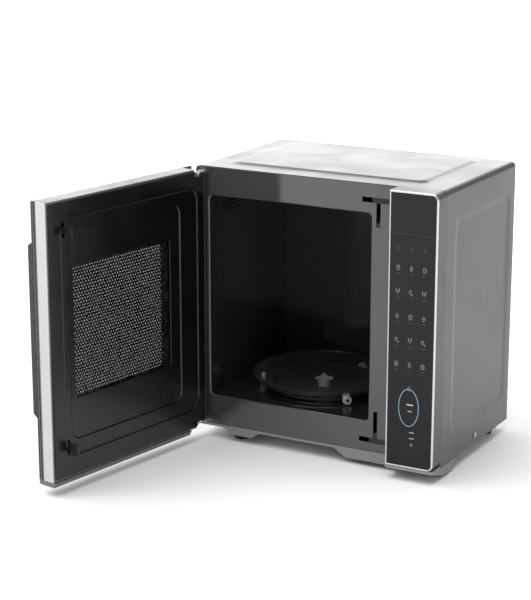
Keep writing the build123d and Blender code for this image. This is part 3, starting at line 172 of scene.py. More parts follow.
for start, end in (
    (grain_place.outputs["Object"], grain_scale.inputs[0]),
    (grain_in.outputs["Stretch"], grain_scale.inputs[1]),
    (grain_scale.outputs[0], grain_noise.inputs["Vector"]),
    (grain_in.outputs["Grain"], grain_noise.inputs["Scale"]),
    (grain_place.outputs["Object"], cloud_noise.inputs["Vector"]),
    (grain_noise.outputs["Fac"], both.inputs[0]),
    (cloud_noise.outputs["Fac"], both.inputs[1]),
    (both.outputs[0], half.inputs[0]),
    (half.outputs[0], tone.inputs[0]),
    (grain_in.outputs["Light"], tone.inputs[6]),
    (grain_in.outputs["Dark"], tone.inputs[7]),
    (cloud_noise.outputs["Fac"], gloss.inputs["Value"]),
    (grain_in.outputs["Smooth"], gloss.inputs["To Min"]),
    (grain_in.outputs["Rough"], gloss.inputs["To Max"]),
    (tone.outputs[2], grain_out.inputs["Color"]),
    (gloss.outputs[0], grain_out.inputs["Roughness"]),
    (grain_noise.outputs["Fac"], grain_out.inputs["Height"]),
):
    grain.links.new(start, end)


def finish(
    name, tone, spread, gloss, metallic=0.0, grain_size=900.0, depth=0.0, coat=0.0, stretch=(1, 1, 1)
):
    """A material whose colour spreads lighter and darker, with a gloss that varies and a fine grain."""
    material = bpy.data.materials.new(name)
    material.use_nodes = True
    tree = material.node_tree
    shader = tree.nodes["Principled BSDF"]
    shader.inputs["Metallic"].default_value = metallic
    shader.inputs["Coat Weight"].default_value = coat
    shader.inputs["Coat Roughness"].default_value = 0.08
    effect = tree.nodes.new("ShaderNodeGroup")
    effect.node_tree = grain
    effect.inputs["Light"].default_value = (*(c * (1 + spread) for c in tone), 1)
    effect.inputs["Dark"].default_value = (*(c * (1 - spread) for c in tone), 1)
    effect.inputs["Grain"].default_value = grain_size
    effect.inputs["Smooth"].default_value = gloss[0]
    effect.inputs["Rough"].default_value = gloss[1]
    effect.inputs["Stretch"].default_value = stretch
    tree.links.new(effect.outputs["Color"], shader.inputs["Base Color"])
    tree.links.new(effect.outputs["Roughness"], shader.inputs["Roughness"])
    if depth:
        bump = tree.nodes.new("ShaderNodeBump")
        bump.inputs["Strength"].default_value = 0.35
        bump.inputs["Distance"].default_value = depth
        tree.links.new(effect.outputs["Height"], bump.inputs["Height"])
        tree.links.new(bump.outputs["Normal"], shader.inputs["Normal"])
    return material


def take(piece):
    """Selects one piece alone and makes it the one that is worked on."""
    bpy.ops.object.select_all(action="DESELECT")
    piece.select_set(True)
    bpy.context.view_layer.objects.active = piece


def modify(piece, kind, **values):
    """Adds a modifier with the given values and applies it."""
    take(piece)
    step = piece.modifiers.new("step", kind)
    for key, value in values.items():
        setattr(step, key, value)
    bpy.ops.object.modifier_apply(modifier="step")


def merged_copy(node):
    """A copy of a CAD piece with its loose triangles joined and its flat faces made whole."""
    piece = bpy.data.objects.new(node + "_copy", nodes[node].data.copy())
    bpy.context.scene.collection.objects.link(piece)
    take(piece)
    bpy.ops.mesh.customdata_custom_splitnormals_clear()
    bpy.ops.object.mode_set(mode="EDIT")
    bpy.ops.mesh.select_all(action="SELECT")
    bpy.ops.mesh.remove_doubles(threshold=0.005 * mm)
    bpy.ops.mesh.dissolve_limited(angle_limit=radians(0.5))
    bpy.ops.object.mode_set(mode="OBJECT")
    return piece


def pick(mesh, wanted):
    """Selects the vertices of a mesh in edit mode whose place is wanted."""
    shape = bmesh.from_edit_mesh(mesh)
    for vertex in shape.verts:
        vertex.select = wanted(vertex.co)
    shape.select_mode = {"VERT"}
    shape.select_flush_mode()
    bmesh.update_edit_mesh(mesh)


def ease_field(piece, axis, rim, field, run):
    """Draws the sharp step round a pressed field out into a slope, and rounds the slope's two edges."""
    near = 0.05 * mm
    back = field - sheet_steel if field > 0 else field + sheet_steel
    across = [other for other in range(3) if other != axis]
    places = [vertex.co for vertex in piece.data.vertices if abs(vertex.co[axis] - field) < near]
    low = [min(place[other] for place in places) for other in across]
    high = [max(place[other] for place in places) for other in across]
    centre = [field] * 3
    grow = [1.0] * 3
    for other, start, end in zip(across, low, high):
        centre[other] = (start + end) / 2
        grow[other] = 1 - 2 * run / (end - start)
    take(piece)
    bpy.ops.object.mode_set(mode="EDIT")
    pick(piece.data, lambda co: abs(co[axis] - field) < near or abs(co[axis] - back) < near)
    bpy.ops.transform.resize(value=grow, center_override=centre)
    for level in (field, rim):
        pick(
            piece.data,
            lambda co: abs(co[axis] - level) < near
            and all(a - near < co[other] < b + near for other, a, b in zip(across, low, high)),
        )
        bpy.ops.mesh.bevel(offset=run * 0.4, segments=4, affect="EDGES")
    bpy.ops.object.mode_set(mode="OBJECT")


def settle(piece, name, material, body, slot, *replaced, angle=35):
    """Names a finished piece, puts its place in its mesh, dresses it and hangs it on its body."""
    take(piece)
    bpy.ops.object.transform_apply(location=True, rotation=True, scale=True)
    bpy.ops.object.shade_smooth_by_angle(angle=radians(angle))
    modify(piece, "WEIGHTED_NORMAL", keep_sharp=True)
    piece.name = name
    piece.data.name = name
    piece.data.materials.clear()
    piece.data.materials.append(material)
    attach(piece, body)
    if replaced:
        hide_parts(*replaced)
    return piece


cover_paint = finish(
    "cover_paint",
    (0.108, 0.11, 0.114),
    0.03,
    (0.3, 0.36),
    metallic=0.55,
    grain_size=2600,
    depth=0.02 * mm,
)
cover_low, cover_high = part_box("outer_cover")
top_field_rise = 2.6 * mm
top_slope = 8 * mm
side_field_sink = 2 * mm
side_slope = 11 * mm
sheared_edge = 0.25 * mm
cabinet_base = cover_low.z
cabinet_top = cover_high.z - top_field_rise
cover = merged_copy("outer_cover")
ease_field(cover, 2, cabinet_top, cover_high.z, top_slope)
for side in (-1, 1):
    ease_field(cover, 0, side * cover_high.x, side * (cover_high.x - side_field_sink), side_slope)
modify(cover, "BEVEL", width=sheared_edge, segments=2, limit_method="ANGLE", angle_limit=radians(40))
settle(cover, "cover", cover_paint, "cabinet", "cover_paint", "outer_cover", angle=40)

# ---------------------------------------------------------------- screws
# Pan-head screws with a cross recess hold the cover: five through its rear flange and one low
# on each side. One is turned and cut, then copied to the other places.
screw_steel = finish("screw_steel", (0.6, 0.6, 0.6), 0.06, (0.22, 0.34), metallic=1.0)
head_radius = 4 * mm
head_height = 2 * mm
head_rounding = 0.45 * mm
recess_size = (0.9 * mm, 4.6 * mm, 2.2 * mm)
rear_inset = 7 * mm
corner_distance = 60 * mm
flange_x = cover_high.x - rear_inset
flange_heights = (cabinet_base + corner_distance, cabinet_top - corner_distance)
side_screw = (-3 * mm, cabinet_base + 15 * mm)
screw_places = []
for side in (-1, 1):
    for height in flange_heights:
        screw_places.append(((side * flange_x, cover_high.y, height), "rear"))
screw_places.append(((0, cover_high.y, cabinet_top - rear_inset), "rear"))
screw_places.append(((cover_high.x, *side_screw), "right"))
screw_places.append(((cover_low.x, *side_screw), "left"))
outward = {"rear": (-pi / 2, 0, 0), "right": (0, pi / 2, 0), "left": (0, -pi / 2, 0)}

bpy.ops.object.select_all(action="DESELECT")
bpy.ops.mesh.primitive_cylinder_add(vertices=32, radius=head_radius, depth=head_height)
screw = bpy.context.object
screw.data.transform(Matrix.Translation((0, 0, head_height / 2)))
for turn in (0, pi / 2):
    bpy.ops.mesh.primitive_cube_add(size=1, location=(0, 0, head_height), rotation=(0, 0, turn))
    blade = bpy.context.object
    blade.scale = recess_size
    bpy.ops.object.transform_apply(location=True, rotation=True, scale=True)
    modify(screw, "BOOLEAN", operation="DIFFERENCE", object=blade, solver="EXACT")
    bpy.data.objects.remove(blade)
modify(screw, "BEVEL", width=head_rounding, segments=3, limit_method="ANGLE", angle_limit=radians(50))
screw_copies = []
for place, side in screw_places:
    copy = bpy.data.objects.new("screw", screw.data.copy())
    bpy.context.scene.collection.objects.link(copy)
    copy.location = place
    copy.rotation_euler = outward[side]
    screw_copies.append(copy)
bpy.data.objects.remove(screw)


def joined(pieces):
    """Applies the places of pieces and makes them one piece."""
    bpy.ops.object.select_all(action="DESELECT")
    for piece in pieces:
        piece.select_set(True)
    bpy.context.view_layer.objects.active = pieces[0]
    bpy.ops.object.transform_apply(location=True, rotation=True, scale=True)
    bpy.ops.object.join()
    return bpy.context.object


settle(joined(screw_copies), "screw_heads", screw_steel, "cabinet", "screw_steel", "cover_screws")

# ---------------------------------------------------------------- rear panel and base
# Galvanised sheet: the zinc has set in flat crystals that each catch the light differently.
# The rear panel is punched for the vents, and the mains lead's bush is pressed into it.
spangle, spangle_in, spangle_out = node_group(
    "zinc_spangle",
    (
        ("Light", "NodeSocketColor", None),
        ("Dark", "NodeSocketColor", None),
        ("Crystal", "NodeSocketFloat", 330.0),
    ),
    (("Color", "NodeSocketColor"), ("Roughness", "NodeSocketFloat")),
)
spangle_place = spangle.nodes.new("ShaderNodeTexCoord")
crystals = spangle.nodes.new("ShaderNodeTexVoronoi")
crystal_shade = spangle.nodes.new("ShaderNodeSeparateColor")
crystal_tone = spangle.nodes.new("ShaderNodeMix")
crystal_tone.data_type = "RGBA"
crystal_gloss = spangle.nodes.new("ShaderNodeMapRange")
crystal_gloss.inputs["To Min"].default_value = 0.34
crystal_gloss.inputs["To Max"].default_value = 0.52
for start, end in (
    (spangle_place.outputs["Object"], crystals.inputs["Vector"]),
    (spangle_in.outputs["Crystal"], crystals.inputs["Scale"]),
    (crystals.outputs["Color"], crystal_shade.inputs[0]),
    (crystal_shade.outputs[0], crystal_tone.inputs[0]),
    (spangle_in.outputs["Light"], crystal_tone.inputs[6]),
    (spangle_in.outputs["Dark"], crystal_tone.inputs[7]),
    (crystal_shade.outputs[1], crystal_gloss.inputs["Value"]),
    (crystal_tone.outputs[2], spangle_out.inputs["Color"]),
    (crystal_gloss.outputs[0], spangle_out.inputs["Roughness"]),
):
    spangle.links.new(start, end)

zinc_steel = bpy.data.materials.new("zinc_steel")
zinc_steel.use_nodes = True
zinc_tree = zinc_steel.node_tree
zinc_shader = zinc_tree.nodes["Principled BSDF"]
zinc_shader.inputs["Metallic"].default_value = 0.9
zinc_effect = zinc_tree.nodes.new("ShaderNodeGroup")
zinc_effect.node_tree = spangle
zinc_effect.inputs["Light"].default_value = (0.62, 0.63, 0.64, 1)
zinc_effect.inputs["Dark"].default_value = (0.47, 0.48, 0.49, 1)
zinc_tree.links.new(zinc_effect.outputs["Color"], zinc_shader.inputs["Base Color"])
zinc_tree.links.new(zinc_effect.outputs["Roughness"], zinc_shader.inputs["Roughness"])


def dress(material, *names):
    """Gives CAD pieces a finish and leaves their shape as it is."""
    for name in names:
        mesh = nodes[name].data
        if not mesh.materials:
            mesh.materials.append(material)
        for index in range(len(mesh.materials)):
            mesh.materials[index] = material


dress(zinc_steel, "rear_panel", "base_plate", "waveguide", "capacitor_clamp")


def soften(node, radius, material, body, slot, name, angle=30, steps=2):
    """A CAD piece with its sharp edges rounded, as bending, moulding or grinding leaves them."""
    piece = merged_copy(node)
    modify(
        piece,
        "BEVEL",
        width=radius,
        segments=steps,
        limit_method="ANGLE",
        angle_limit=radians(angle),
        miter_outer="MITER_ARC",
    )
    return settle(piece, name, material, body, slot, node, angle=40)


part_plastic = finish(
    "part_plastic", (0.010, 0.010, 0.011), 0.1, (0.34, 0.46), grain_size=1400, depth=0.03 * mm
)
soften("cord_inlet", 0.5 * mm, part_plastic, "cabinet", "part_plastic", "cord_bush")

# ---------------------------------------------------------------- base strip and feet
# A silver-grey moulding closes the bottom of the front and bulges down over the two front feet.
# The feet are moulded rubber, a little rough underneath.
base_silver = finish(
    "base_silver",
    (0.25, 0.25, 0.245),
    0.05,
    (0.34, 0.44),
    metallic=0.4,
    grain_size=2200,
    depth=0.02 * mm,
)
soften("front_base_strip", 0.9 * mm, base_silver, "cabinet", "base_silver", "base_strip", steps=3)

rubber = finish(
    "rubber_black", (0.014, 0.014, 0.014), 0.15, (0.6, 0.75), grain_size=1300, depth=0.05 * mm
)
soften("rubber_feet", 1.2 * mm, rubber, "cabinet", "rubber_black", "feet", steps=3)

# ---------------------------------------------------------------- front plate
# One pressed sheet frames the cooking opening and carries the T-shaped latch slots. It is sprayed
# a glossy metallic grey, and it rolls back into the cavity round the opening.


def outlined_sheet(outlines, facing, corner_steps=7):
    """A sheet that faces along y and runs through rounded outlines.

    Each outline has its limits in x and in z, its place along y and its corner radius.
    """
    rims = []
    for x, z, y, corner in outlines:
        bpy.ops.object.select_all(action="DESELECT")
        centre = ((x[0] + x[1]) / 2, y, (z[0] + z[1]) / 2)
        bpy.ops.mesh.primitive_plane_add(size=1, location=centre, rotation=(-pi / 2, 0, 0))
        rim = bpy.context.object
        rim.scale = (x[1] - x[0], z[1] - z[0], 1)
        bpy.ops.object.transform_apply(location=True, rotation=True, scale=True)
        bpy.ops.object.mode_set(mode="EDIT")
        bpy.ops.mesh.select_all(action="SELECT")
        bpy.ops.mesh.bevel(offset=corner, segments=corner_steps, affect="VERTICES")
        bpy.ops.mesh.delete(type="ONLY_FACE")
        bpy.ops.object.mode_set(mode="OBJECT")
        rims.append(rim)
    sheet = rims[0]
    mesh = sheet.data
    shape = bmesh.new()
    for rim in rims:
        shape.from_mesh(rim.data)
    shape.verts.ensure_lookup_table()
    shape.verts.index_update()
    per_outline = len(mesh.vertices)
    for edge in list(shape.edges):
        start, end = edge.verts
        if max(start.index, end.index) + per_outline < len(shape.verts):
            next_start, next_end = (shape.verts[vertex.index + per_outline] for vertex in edge.verts)
            shape.faces.new((start, end, next_end, next_start))
    bmesh.ops.recalc_face_normals(shape, faces=shape.faces)
    shape.to_mesh(mesh)
    shape.free()
    for rim in rims[1:]:
        bpy.data.objects.remove(rim)
    if sum(face.normal.y * face.area for face in mesh.polygons) * facing < 0:
        mesh.flip_normals()
    return sheet


def inside(x, z, amount, y, corner):
    """An outline that lies inside the given limits by the same amount all round."""
    return (x[0] + amount, x[1] - amount), (z[0] + amount, z[1] - amount), y, corner


def cut_box(piece, x, y, z):
    """Cuts a square-edged hole through a piece, between limits along each axis."""
    bpy.ops.object.select_all(action="DESELECT")
    bpy.ops.mesh.primitive_cube_add(size=1, location=[(a + b) / 2 for a, b in (x, y, z)])
    cutter = bpy.context.object
    cutter.scale = [b - a for a, b in (x, y, z)]
    bpy.ops.object.transform_apply(location=True, rotation=True, scale=True)
    modify(piece, "BOOLEAN", operation="DIFFERENCE", object=cutter, solver="EXACT")
    bpy.data.objects.remove(cutter)


plate_paint = finish(
    "plate_paint", (0.085, 0.086, 0.09), 0.03, (0.07, 0.11), metallic=0.6, grain_size=3000, coat=0.5
)
plate_low, plate_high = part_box("front_plate")
strip_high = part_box("latch_plate")[1]
wrap_low, wrap_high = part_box("cavity_wrap")
plate_face = plate_low.y
plate_x = (plate_low.x, strip_high.x)
plate_z = (plate_low.z, plate_high.z)
opening_x = (wrap_low.x + sheet_steel, wrap_high.x - sheet_steel)
opening_z = (cabinet_base + 57 * mm, wrap_high.z - sheet_steel)
front_sheet = outlined_sheet(
    (
        (plate_x, plate_z, plate_face + 0.9 * mm, 2 * mm),
        (plate_x, plate_z, plate_face + 0.5 * mm, 2 * mm),
        inside(plate_x, plate_z, 0.5 * mm, plate_face, 1.6 * mm),
        inside(opening_x, opening_z, -2.4 * mm, plate_face, 10 * mm),
        inside(opening_x, opening_z, -0.9 * mm, plate_face + 0.35 * mm, 9 * mm),
        (opening_x, opening_z, plate_face + 1.1 * mm, 8 * mm),
    ),
    facing=-1,
)
plate_wall = 0.3 * mm
plate_edge = 0.12 * mm
modify(front_sheet, "SOLIDIFY", thickness=plate_wall, offset=-1)
slot_x = (strip_high.x - 67.5 * mm, strip_high.x - 4 * mm)
stem_x = (strip_high.x - 43 * mm, strip_high.x - 36 * mm)
sheet_y = (plate_face - 1 * mm, plate_high.y + 1 * mm)
upper_bar = plate_high.z - 24.9 * mm
lower_bar = plate_low.z + 19 * mm
half_bar = 4 * mm
upper_stem_end = upper_bar - 42 * mm
lower_stem_end = lower_bar + 48 * mm
for bar, stem_end in ((upper_bar, upper_stem_end), (lower_bar, lower_stem_end)):
    cut_box(front_sheet, slot_x, sheet_y, (bar - half_bar, bar + half_bar))
    cut_box(front_sheet, stem_x, sheet_y, (min(bar, stem_end), max(bar, stem_end)))
modify(
    front_sheet, "BEVEL", width=plate_edge, segments=2, limit_method="ANGLE", angle_limit=radians(60)
)
settle(front_sheet, "front_sheet", plate_paint, "cabinet", "plate_paint", "front_plate", "latch_plate")

# ---------------------------------------------------------------- cavity
# The cooking space is folded steel under dark enamel with fine pale flecks. Two low rings pressed
# in its floor guide the roller wheels, and a sheet of mica covers the wave guide's mouth.
fleck, fleck_in, fleck_out = node_group(
    "enamel_fleck",
    (
        ("Base", "NodeSocketColor", None),
        ("Fleck", "NodeSocketColor", None),
        ("Spacing", "NodeSocketFloat", 420.0),
        ("Size", "NodeSocketFloat", 0.2),
    ),
    (
        ("Color", "NodeSocketColor"),
        ("Roughness", "NodeSocketFloat"),
        ("Height", "NodeSocketFloat"),
    ),
)
fleck_place = fleck.nodes.new("ShaderNodeTexCoord")
fleck_cells = fleck.nodes.new("ShaderNodeTexVoronoi")
fleck_mask = fleck.nodes.new("ShaderNodeMath")
fleck_mask.operation = "LESS_THAN"
fleck_tone = fleck.nodes.new("ShaderNodeMix")
fleck_tone.data_type = "RGBA"
enamel_waves = fleck.nodes.new("ShaderNodeTexNoise")
enamel_waves.inputs["Scale"].default_value = 60
enamel_gloss = fleck.nodes.new("ShaderNodeMapRange")
enamel_gloss.inputs["To Min"].default_value = 0.09
enamel_gloss.inputs["To Max"].default_value = 0.16
for start, end in (
    (fleck_place.outputs["Object"], fleck_cells.inputs["Vector"]),
    (fleck_in.outputs["Spacing"], fleck_cells.inputs["Scale"]),
    (fleck_cells.outputs["Distance"], fleck_mask.inputs[0]),
    (fleck_in.outputs["Size"], fleck_mask.inputs[1]),
    (fleck_mask.outputs[0], fleck_tone.inputs[0]),
    (fleck_in.outputs["Base"], fleck_tone.inputs[6]),
    (fleck_in.outputs["Fleck"], fleck_tone.inputs[7]),
    (fleck_place.outputs["Object"], enamel_waves.inputs["Vector"]),
    (enamel_waves.outputs["Fac"], enamel_gloss.inputs["Value"]),
    (fleck_tone.outputs[2], fleck_out.inputs["Color"]),
    (enamel_gloss.outputs[0], fleck_out.inputs["Roughness"]),
    (enamel_waves.outputs["Fac"], fleck_out.inputs["Height"]),
):
    fleck.links.new(start, end)

enamel = bpy.data.materials.new("cavity_enamel")
enamel.use_nodes = True
enamel_tree = enamel.node_tree
enamel_shader = enamel_tree.nodes["Principled BSDF"]
enamel_effect = enamel_tree.nodes.new("ShaderNodeGroup")
enamel_effect.node_tree = fleck
enamel_effect.inputs["Base"].default_value = (0.012, 0.0125, 0.014, 1)
enamel_effect.inputs["Fleck"].default_value = (0.03, 0.03, 0.033, 1)
enamel_bump = enamel_tree.nodes.new("ShaderNodeBump")
enamel_bump.inputs["Strength"].default_value = 0.2
enamel_bump.inputs["Distance"].default_value = 0.06 * mm
enamel_tree.links.new(enamel_effect.outputs["Color"], enamel_shader.inputs["Base Color"])
enamel_tree.links.new(enamel_effect.outputs["Roughness"], enamel_shader.inputs["Roughness"])
enamel_tree.links.new(enamel_effect.outputs["Height"], enamel_bump.inputs["Height"])
enamel_tree.links.new(enamel_bump.outputs["Normal"], enamel_shader.inputs["Normal"])
dress(enamel, "cavity_wrap", "cavity_floor", "cavity_rear_wall")

floor_low, floor_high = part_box("cavity_floor")
turn_centre = (floor_low + floor_high) / 2
turn_centre.z = floor_high.z
wheel_track = 105 * mm
bead_gap = 9.5 * mm
bead_radius = 2.2 * mm
bead_height = 0.9 * mm
beads = []
for radius in (wheel_track - bead_gap, wheel_track + bead_gap):
    bpy.ops.object.select_all(action="DESELECT")
    bpy.ops.mesh.primitive_torus_add(
        location=turn_centre,
        major_radius=radius,
        minor_radius=bead_radius,
        major_segments=96,
        minor_segments=12,
    )
    bead = bpy.context.object
    bead.scale.z = bead_height / bead_radius
    bpy.ops.object.transform_apply(location=True, rotation=True, scale=True)
    bpy.ops.object.mode_set(mode="EDIT")
    bpy.ops.mesh.select_all(action="SELECT")
    bpy.ops.mesh.bisect(
        plane_co=turn_centre - Vector((0, 0, 0.1 * mm)),
        plane_no=(0, 0, 1),
        clear_inner=True,
        use_fill=True,
    )
    bpy.ops.object.mode_set(mode="OBJECT")
    beads.append(bead)
settle(joined(beads), "floor_track", enamel, "cabinet", "cavity_enamel", angle=60)

mica = finish("mica_tan", (0.20, 0.18, 0.145), 0.25, (0.3, 0.5), grain_size=130, stretch=(1, 1, 2))
dress(mica, "mica_cover")

# ---------------------------------------------------------------- control panel
# A deep silver-grey bezel, a bright metal trim ring and a sheet of glossy black glass. The
# glass carries pale printed marks and one light blue ring round the start area.
bezel_silver = finish(
    "bezel_silver",
    (0.10, 0.102, 0.106),
    0.05,
    (0.32, 0.42),
    metallic=0.5,
    grain_size=2400,
    depth=0.02 * mm,
)
soften("control_bezel", 0.5 * mm, bezel_silver, "cabinet", "bezel_silver", "bezel")
bright_trim = finish(
    "bright_trim", (0.66, 0.66, 0.67), 0.02, (0.14, 0.2), metallic=1.0, grain_size=2000
)
soften("panel_trim", 1.1 * mm, bright_trim, "cabinet", "bright_trim", "trim_ring", steps=3)

panel_glass = finish("panel_glass", (0.004, 0.004, 0.005), 0.1, (0.04, 0.08), grain_size=60)
panel_glass_shader = panel_glass.node_tree.nodes["Principled BSDF"]
panel_glass_shader.inputs["Specular IOR Level"].default_value = 0.32
dress(panel_glass, "control_glass")

print_white = finish("print_white", (0.42, 0.43, 0.45), 0.12, (0.45, 0.6), grain_size=700)
print_grey = finish("print_grey", (0.06, 0.06, 0.064), 0.12, (0.45, 0.6), grain_size=700)
print_blue = finish("print_blue", (0.20, 0.46, 0.58), 0.2, (0.4, 0.55), grain_size=300)
glass_low, glass_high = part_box("control_glass")
panel_x = (glass_low.x + glass_high.x) / 2
print_y = glass_low.y - 0.04 * mm
print_thickness = 0.03 * mm


def printed(name, shapes, material, slot):
    """Joins flat marks into one print that lies on the glass and faces the front."""
    piece = joined(shapes)
    modify(piece, "SOLIDIFY", thickness=print_thickness, offset=0)
    return settle(piece, name, material, "cabinet", slot)


def dash(x, z, width, height, corner=0.3):
    """A flat bar with rounded ends, printed about a place on the panel."""
    bpy.ops.object.select_all(action="DESELECT")
    place = (panel_x + x, print_y, cabinet_base + z)
    bpy.ops.mesh.primitive_plane_add(size=1, location=place, rotation=(pi / 2, 0, 0))
    bar = bpy.context.object
    bar.scale = (width, height, 1)
    bpy.ops.object.transform_apply(location=False, rotation=False, scale=True)
    bpy.ops.object.mode_set(mode="EDIT")
    bpy.ops.mesh.select_all(action="SELECT")
    bpy.ops.mesh.bevel(offset=min(width, height) * corner, segments=3, affect="VERTICES")
    bpy.ops.object.mode_set(mode="OBJECT")
    return bar


def hoop(x, z, width, height, line, sides=32):
    """A flat oval line, printed about a place on the panel."""
    bpy.ops.object.select_all(action="DESELECT")
    place = (panel_x + x, print_y, cabinet_base + z)
    bpy.ops.mesh.primitive_circle_add(
        vertices=sides, radius=1, fill_type="NGON", location=place, rotation=(pi / 2, 0, 0)
    )
    oval = bpy.context.object
    oval.scale = (width / 2, height / 2, 1)
    bpy.ops.object.transform_apply(location=False, rotation=False, scale=True)
    bpy.ops.object.mode_set(mode="EDIT")
    bpy.ops.mesh.select_all(action="SELECT")
    bpy.ops.mesh.inset(thickness=line, depth=0)
    bpy.ops.mesh.delete(type="FACE")
    bpy.ops.object.mode_set(mode="OBJECT")
    return oval


mark_columns = (-24 * mm, -2 * mm, 20 * mm)
mark_rows = (322 * mm, 284 * mm, 246 * mm, 208 * mm, 170 * mm)
marks = []
faint_marks = [dash(0, 375 * mm, 66 * mm, 0.5 * mm)]
for column in mark_columns:
    faint_marks.append(hoop(column, 352 * mm, 5 * mm, 7 * mm, 0.7 * mm, sides=20))
for row_number, row in enumerate(mark_rows):
    for column_number, column in enumerate(mark_columns):
        kind = (row_number + 2 * column_number) % 4
        if kind == 0:
            marks.append(hoop(column, row, 6 * mm, 8 * mm, 0.5 * mm, sides=20))
            marks.append(dash(column, row, 2.2 * mm, 0.7 * mm))
        elif kind == 1:
            for step in (-2.6 * mm, 0, 2.6 * mm):
                marks.append(dash(column + step, row + abs(step), 0.6 * mm, 6 * mm))
        elif kind == 2:
            for step in (-3 * mm, 0, 3 * mm):
                marks.append(dash(column, row + step, 6.4 * mm - abs(step), 0.7 * mm))
        else:
            marks.append(hoop(column - 1 * mm, row + 1 * mm, 4.6 * mm, 6 * mm, 0.5 * mm, sides=20))
            marks.append(dash(column + 2.4 * mm, row - 3 * mm, 1.6 * mm, 1.6 * mm))
        faint_marks.append(dash(column, row - 9 * mm, 7.5 * mm, 0.8 * mm))
start_z = 101.6 * mm
marks.append(dash(0, start_z + 5 * mm, 11 * mm, 2.4 * mm))
marks.append(dash(0, start_z - 5.5 * mm, 7 * mm, 1.4 * mm))
marks.append(hoop(-2 * mm, 132 * mm, 5 * mm, 6.5 * mm, 0.5 * mm, sides=20))
marks.append(dash(4 * mm, 62 * mm, 8 * mm, 1.5 * mm))
marks.append(dash(4 * mm, 52.5 * mm, 9 * mm, 1.2 * mm))
marks.append(hoop(4 * mm, 42 * mm, 4.4 * mm, 6 * mm, 0.6 * mm, sides=4))
printed("panel_marks", marks, print_white, "touch_film")
printed("faint_marks", faint_marks, print_grey, "touch_film")
start_ring = hoop(-2 * mm, start_z, 34.5 * mm, 61 * mm, 1.1 * mm, sides=72)
printed("start_ring", [start_ring], print_blue, "touch_film")

# ---------------------------------------------------------------- hinge brackets
# Each bracket is a plated steel arm screwed to the front plate, and it carries the pin that
# the door turns on.
hinge_steel = finish(
    "hinge_steel",
    (0.68, 0.68, 0.69),
    0.08,
    (0.2, 0.34),
    metallic=1.0,
    grain_size=260,
    stretch=(1, 1, 14),
)
soften("hinge_brackets", 0.35 * mm, hinge_steel, "cabinet", "hinge_steel", "brackets")

# ---------------------------------------------------------------- door body
# A silver moulded surround with a bottom rail and a bright strip down its free edge. Door pieces
# are shaped with the door shut, square to the cabinet, and then swung open about the hinge.
hinge = next(joint for joint in frame["joints"] if joint["name"] == "door_hinge")
hinge_place = Matrix.Translation(hinge["pos_m"])
door_angle = radians(-hinge["range_deg"][1])
open_turn = hinge_place @ Matrix.Rotation(door_angle, 4, "Z") @ hinge_place.inverted()
shut_turn = open_turn.inverted()


def shut_box(node):
    """A door piece's lowest and highest corner with the door shut."""
    corners = [shut_turn @ vertex.co for vertex in nodes[node].data.vertices]
    low = Vector(min(corner[axis] for corner in corners) for axis in range(3))
    high = Vector(max(corner[axis] for corner in corners) for axis in range(3))
    return low, high


def swing_open(piece):
    """Turns a piece that was shaped with the door shut to where the open door holds it."""
    take(piece)
    bpy.ops.object.transform_apply(location=True, rotation=True, scale=True)
    piece.data.transform(open_turn)


door_silver = finish(
    "door_silver",
    (0.15, 0.151, 0.155),
    0.04,
    (0.32, 0.42),
    metallic=0.5,
    grain_size=2200,
    depth=0.02 * mm,
)
dress(door_silver, "door_frame")
soften("door_bottom_rail", 0.6 * mm, door_silver, "door", "door_silver", "bottom_rail")
edge_silver = finish(
    "edge_silver",
    (0.54, 0.54, 0.55),
    0.02,
    (0.28, 0.34),
    metallic=0.6,
    grain_size=900,
    stretch=(4, 4, 1),
)
soften("door_edge_trim", 0.25 * mm, edge_silver, "door", "edge_silver", "edge_strip")

# ---------------------------------------------------------------- door liner
# The moulded inner liner is semi-gloss black. From the rim inwards its outlines make a rounded
# edge, a groove, a shallow step and the window. It is cut away at the hinges and for the claws.
liner_black = finish(
    "liner_black", (0.004, 0.0043, 0.0055), 0.12, (0.2, 0.3), grain_size=1500, depth=0.015 * mm
)
liner_low, liner_high = shut_box("door_liner")
door_low, door_high = shut_box("door_frame")
liner_face = liner_high.y
door_x = door_low.x
rim_x = (liner_low.x, liner_high.x)
rim_z = (liner_low.z, liner_high.z)
groove_x = (door_x + 20 * mm, door_x + 332 * mm)
groove_z = (cabinet_base + 37 * mm, cabinet_base + 412 * mm)
step_x = (door_x + 62 * mm, door_x + 316 * mm)
step_z = (cabinet_base + 62 * mm, cabinet_base + 390 * mm)
window_x = (door_x + 86 * mm, door_x + 305 * mm)
window_z = (cabinet_base + 127 * mm, cabinet_base + 335 * mm)
liner = outlined_sheet(
    (
        (rim_x, rim_z, liner_face - 2.3 * mm, 4 * mm),
        (rim_x, rim_z, liner_face - 0.7 * mm, 4 * mm),
        inside(rim_x, rim_z, 0.7 * mm, liner_face, 3.3 * mm),
        (groove_x, groove_z, liner_face, 25 * mm),
        inside(groove_x, groove_z, 1.4 * mm, liner_face - 1.4 * mm, 23.6 * mm),
        inside(groove_x, groove_z, 3.2 * mm, liner_face - 1.4 * mm, 21.8 * mm),
        inside(groove_x, groove_z, 4.6 * mm, liner_face, 20.4 * mm),
        (step_x, step_z, liner_face, 18 * mm),
        inside(step_x, step_z, 2 * mm, liner_face - 1.2 * mm, 16 * mm),
        (window_x, window_z, liner_face - 1.2 * mm, 6 * mm),
        inside(window_x, window_z, 0.6 * mm, liner_face - 1.8 * mm, 5.6 * mm),
        inside(window_x, window_z, 0.7 * mm, liner_face - 2.4 * mm, 5.5 * mm),
    ),
    facing=1,
)
liner_wall = 0.7 * mm
liner_edge = 0.3 * mm
modify(liner, "SOLIDIFY", thickness=liner_wall, offset=-1)
notch_width = 24 * mm
notch_height = 12 * mm
liner_y = (liner_face - 4 * mm, liner_face + 1 * mm)
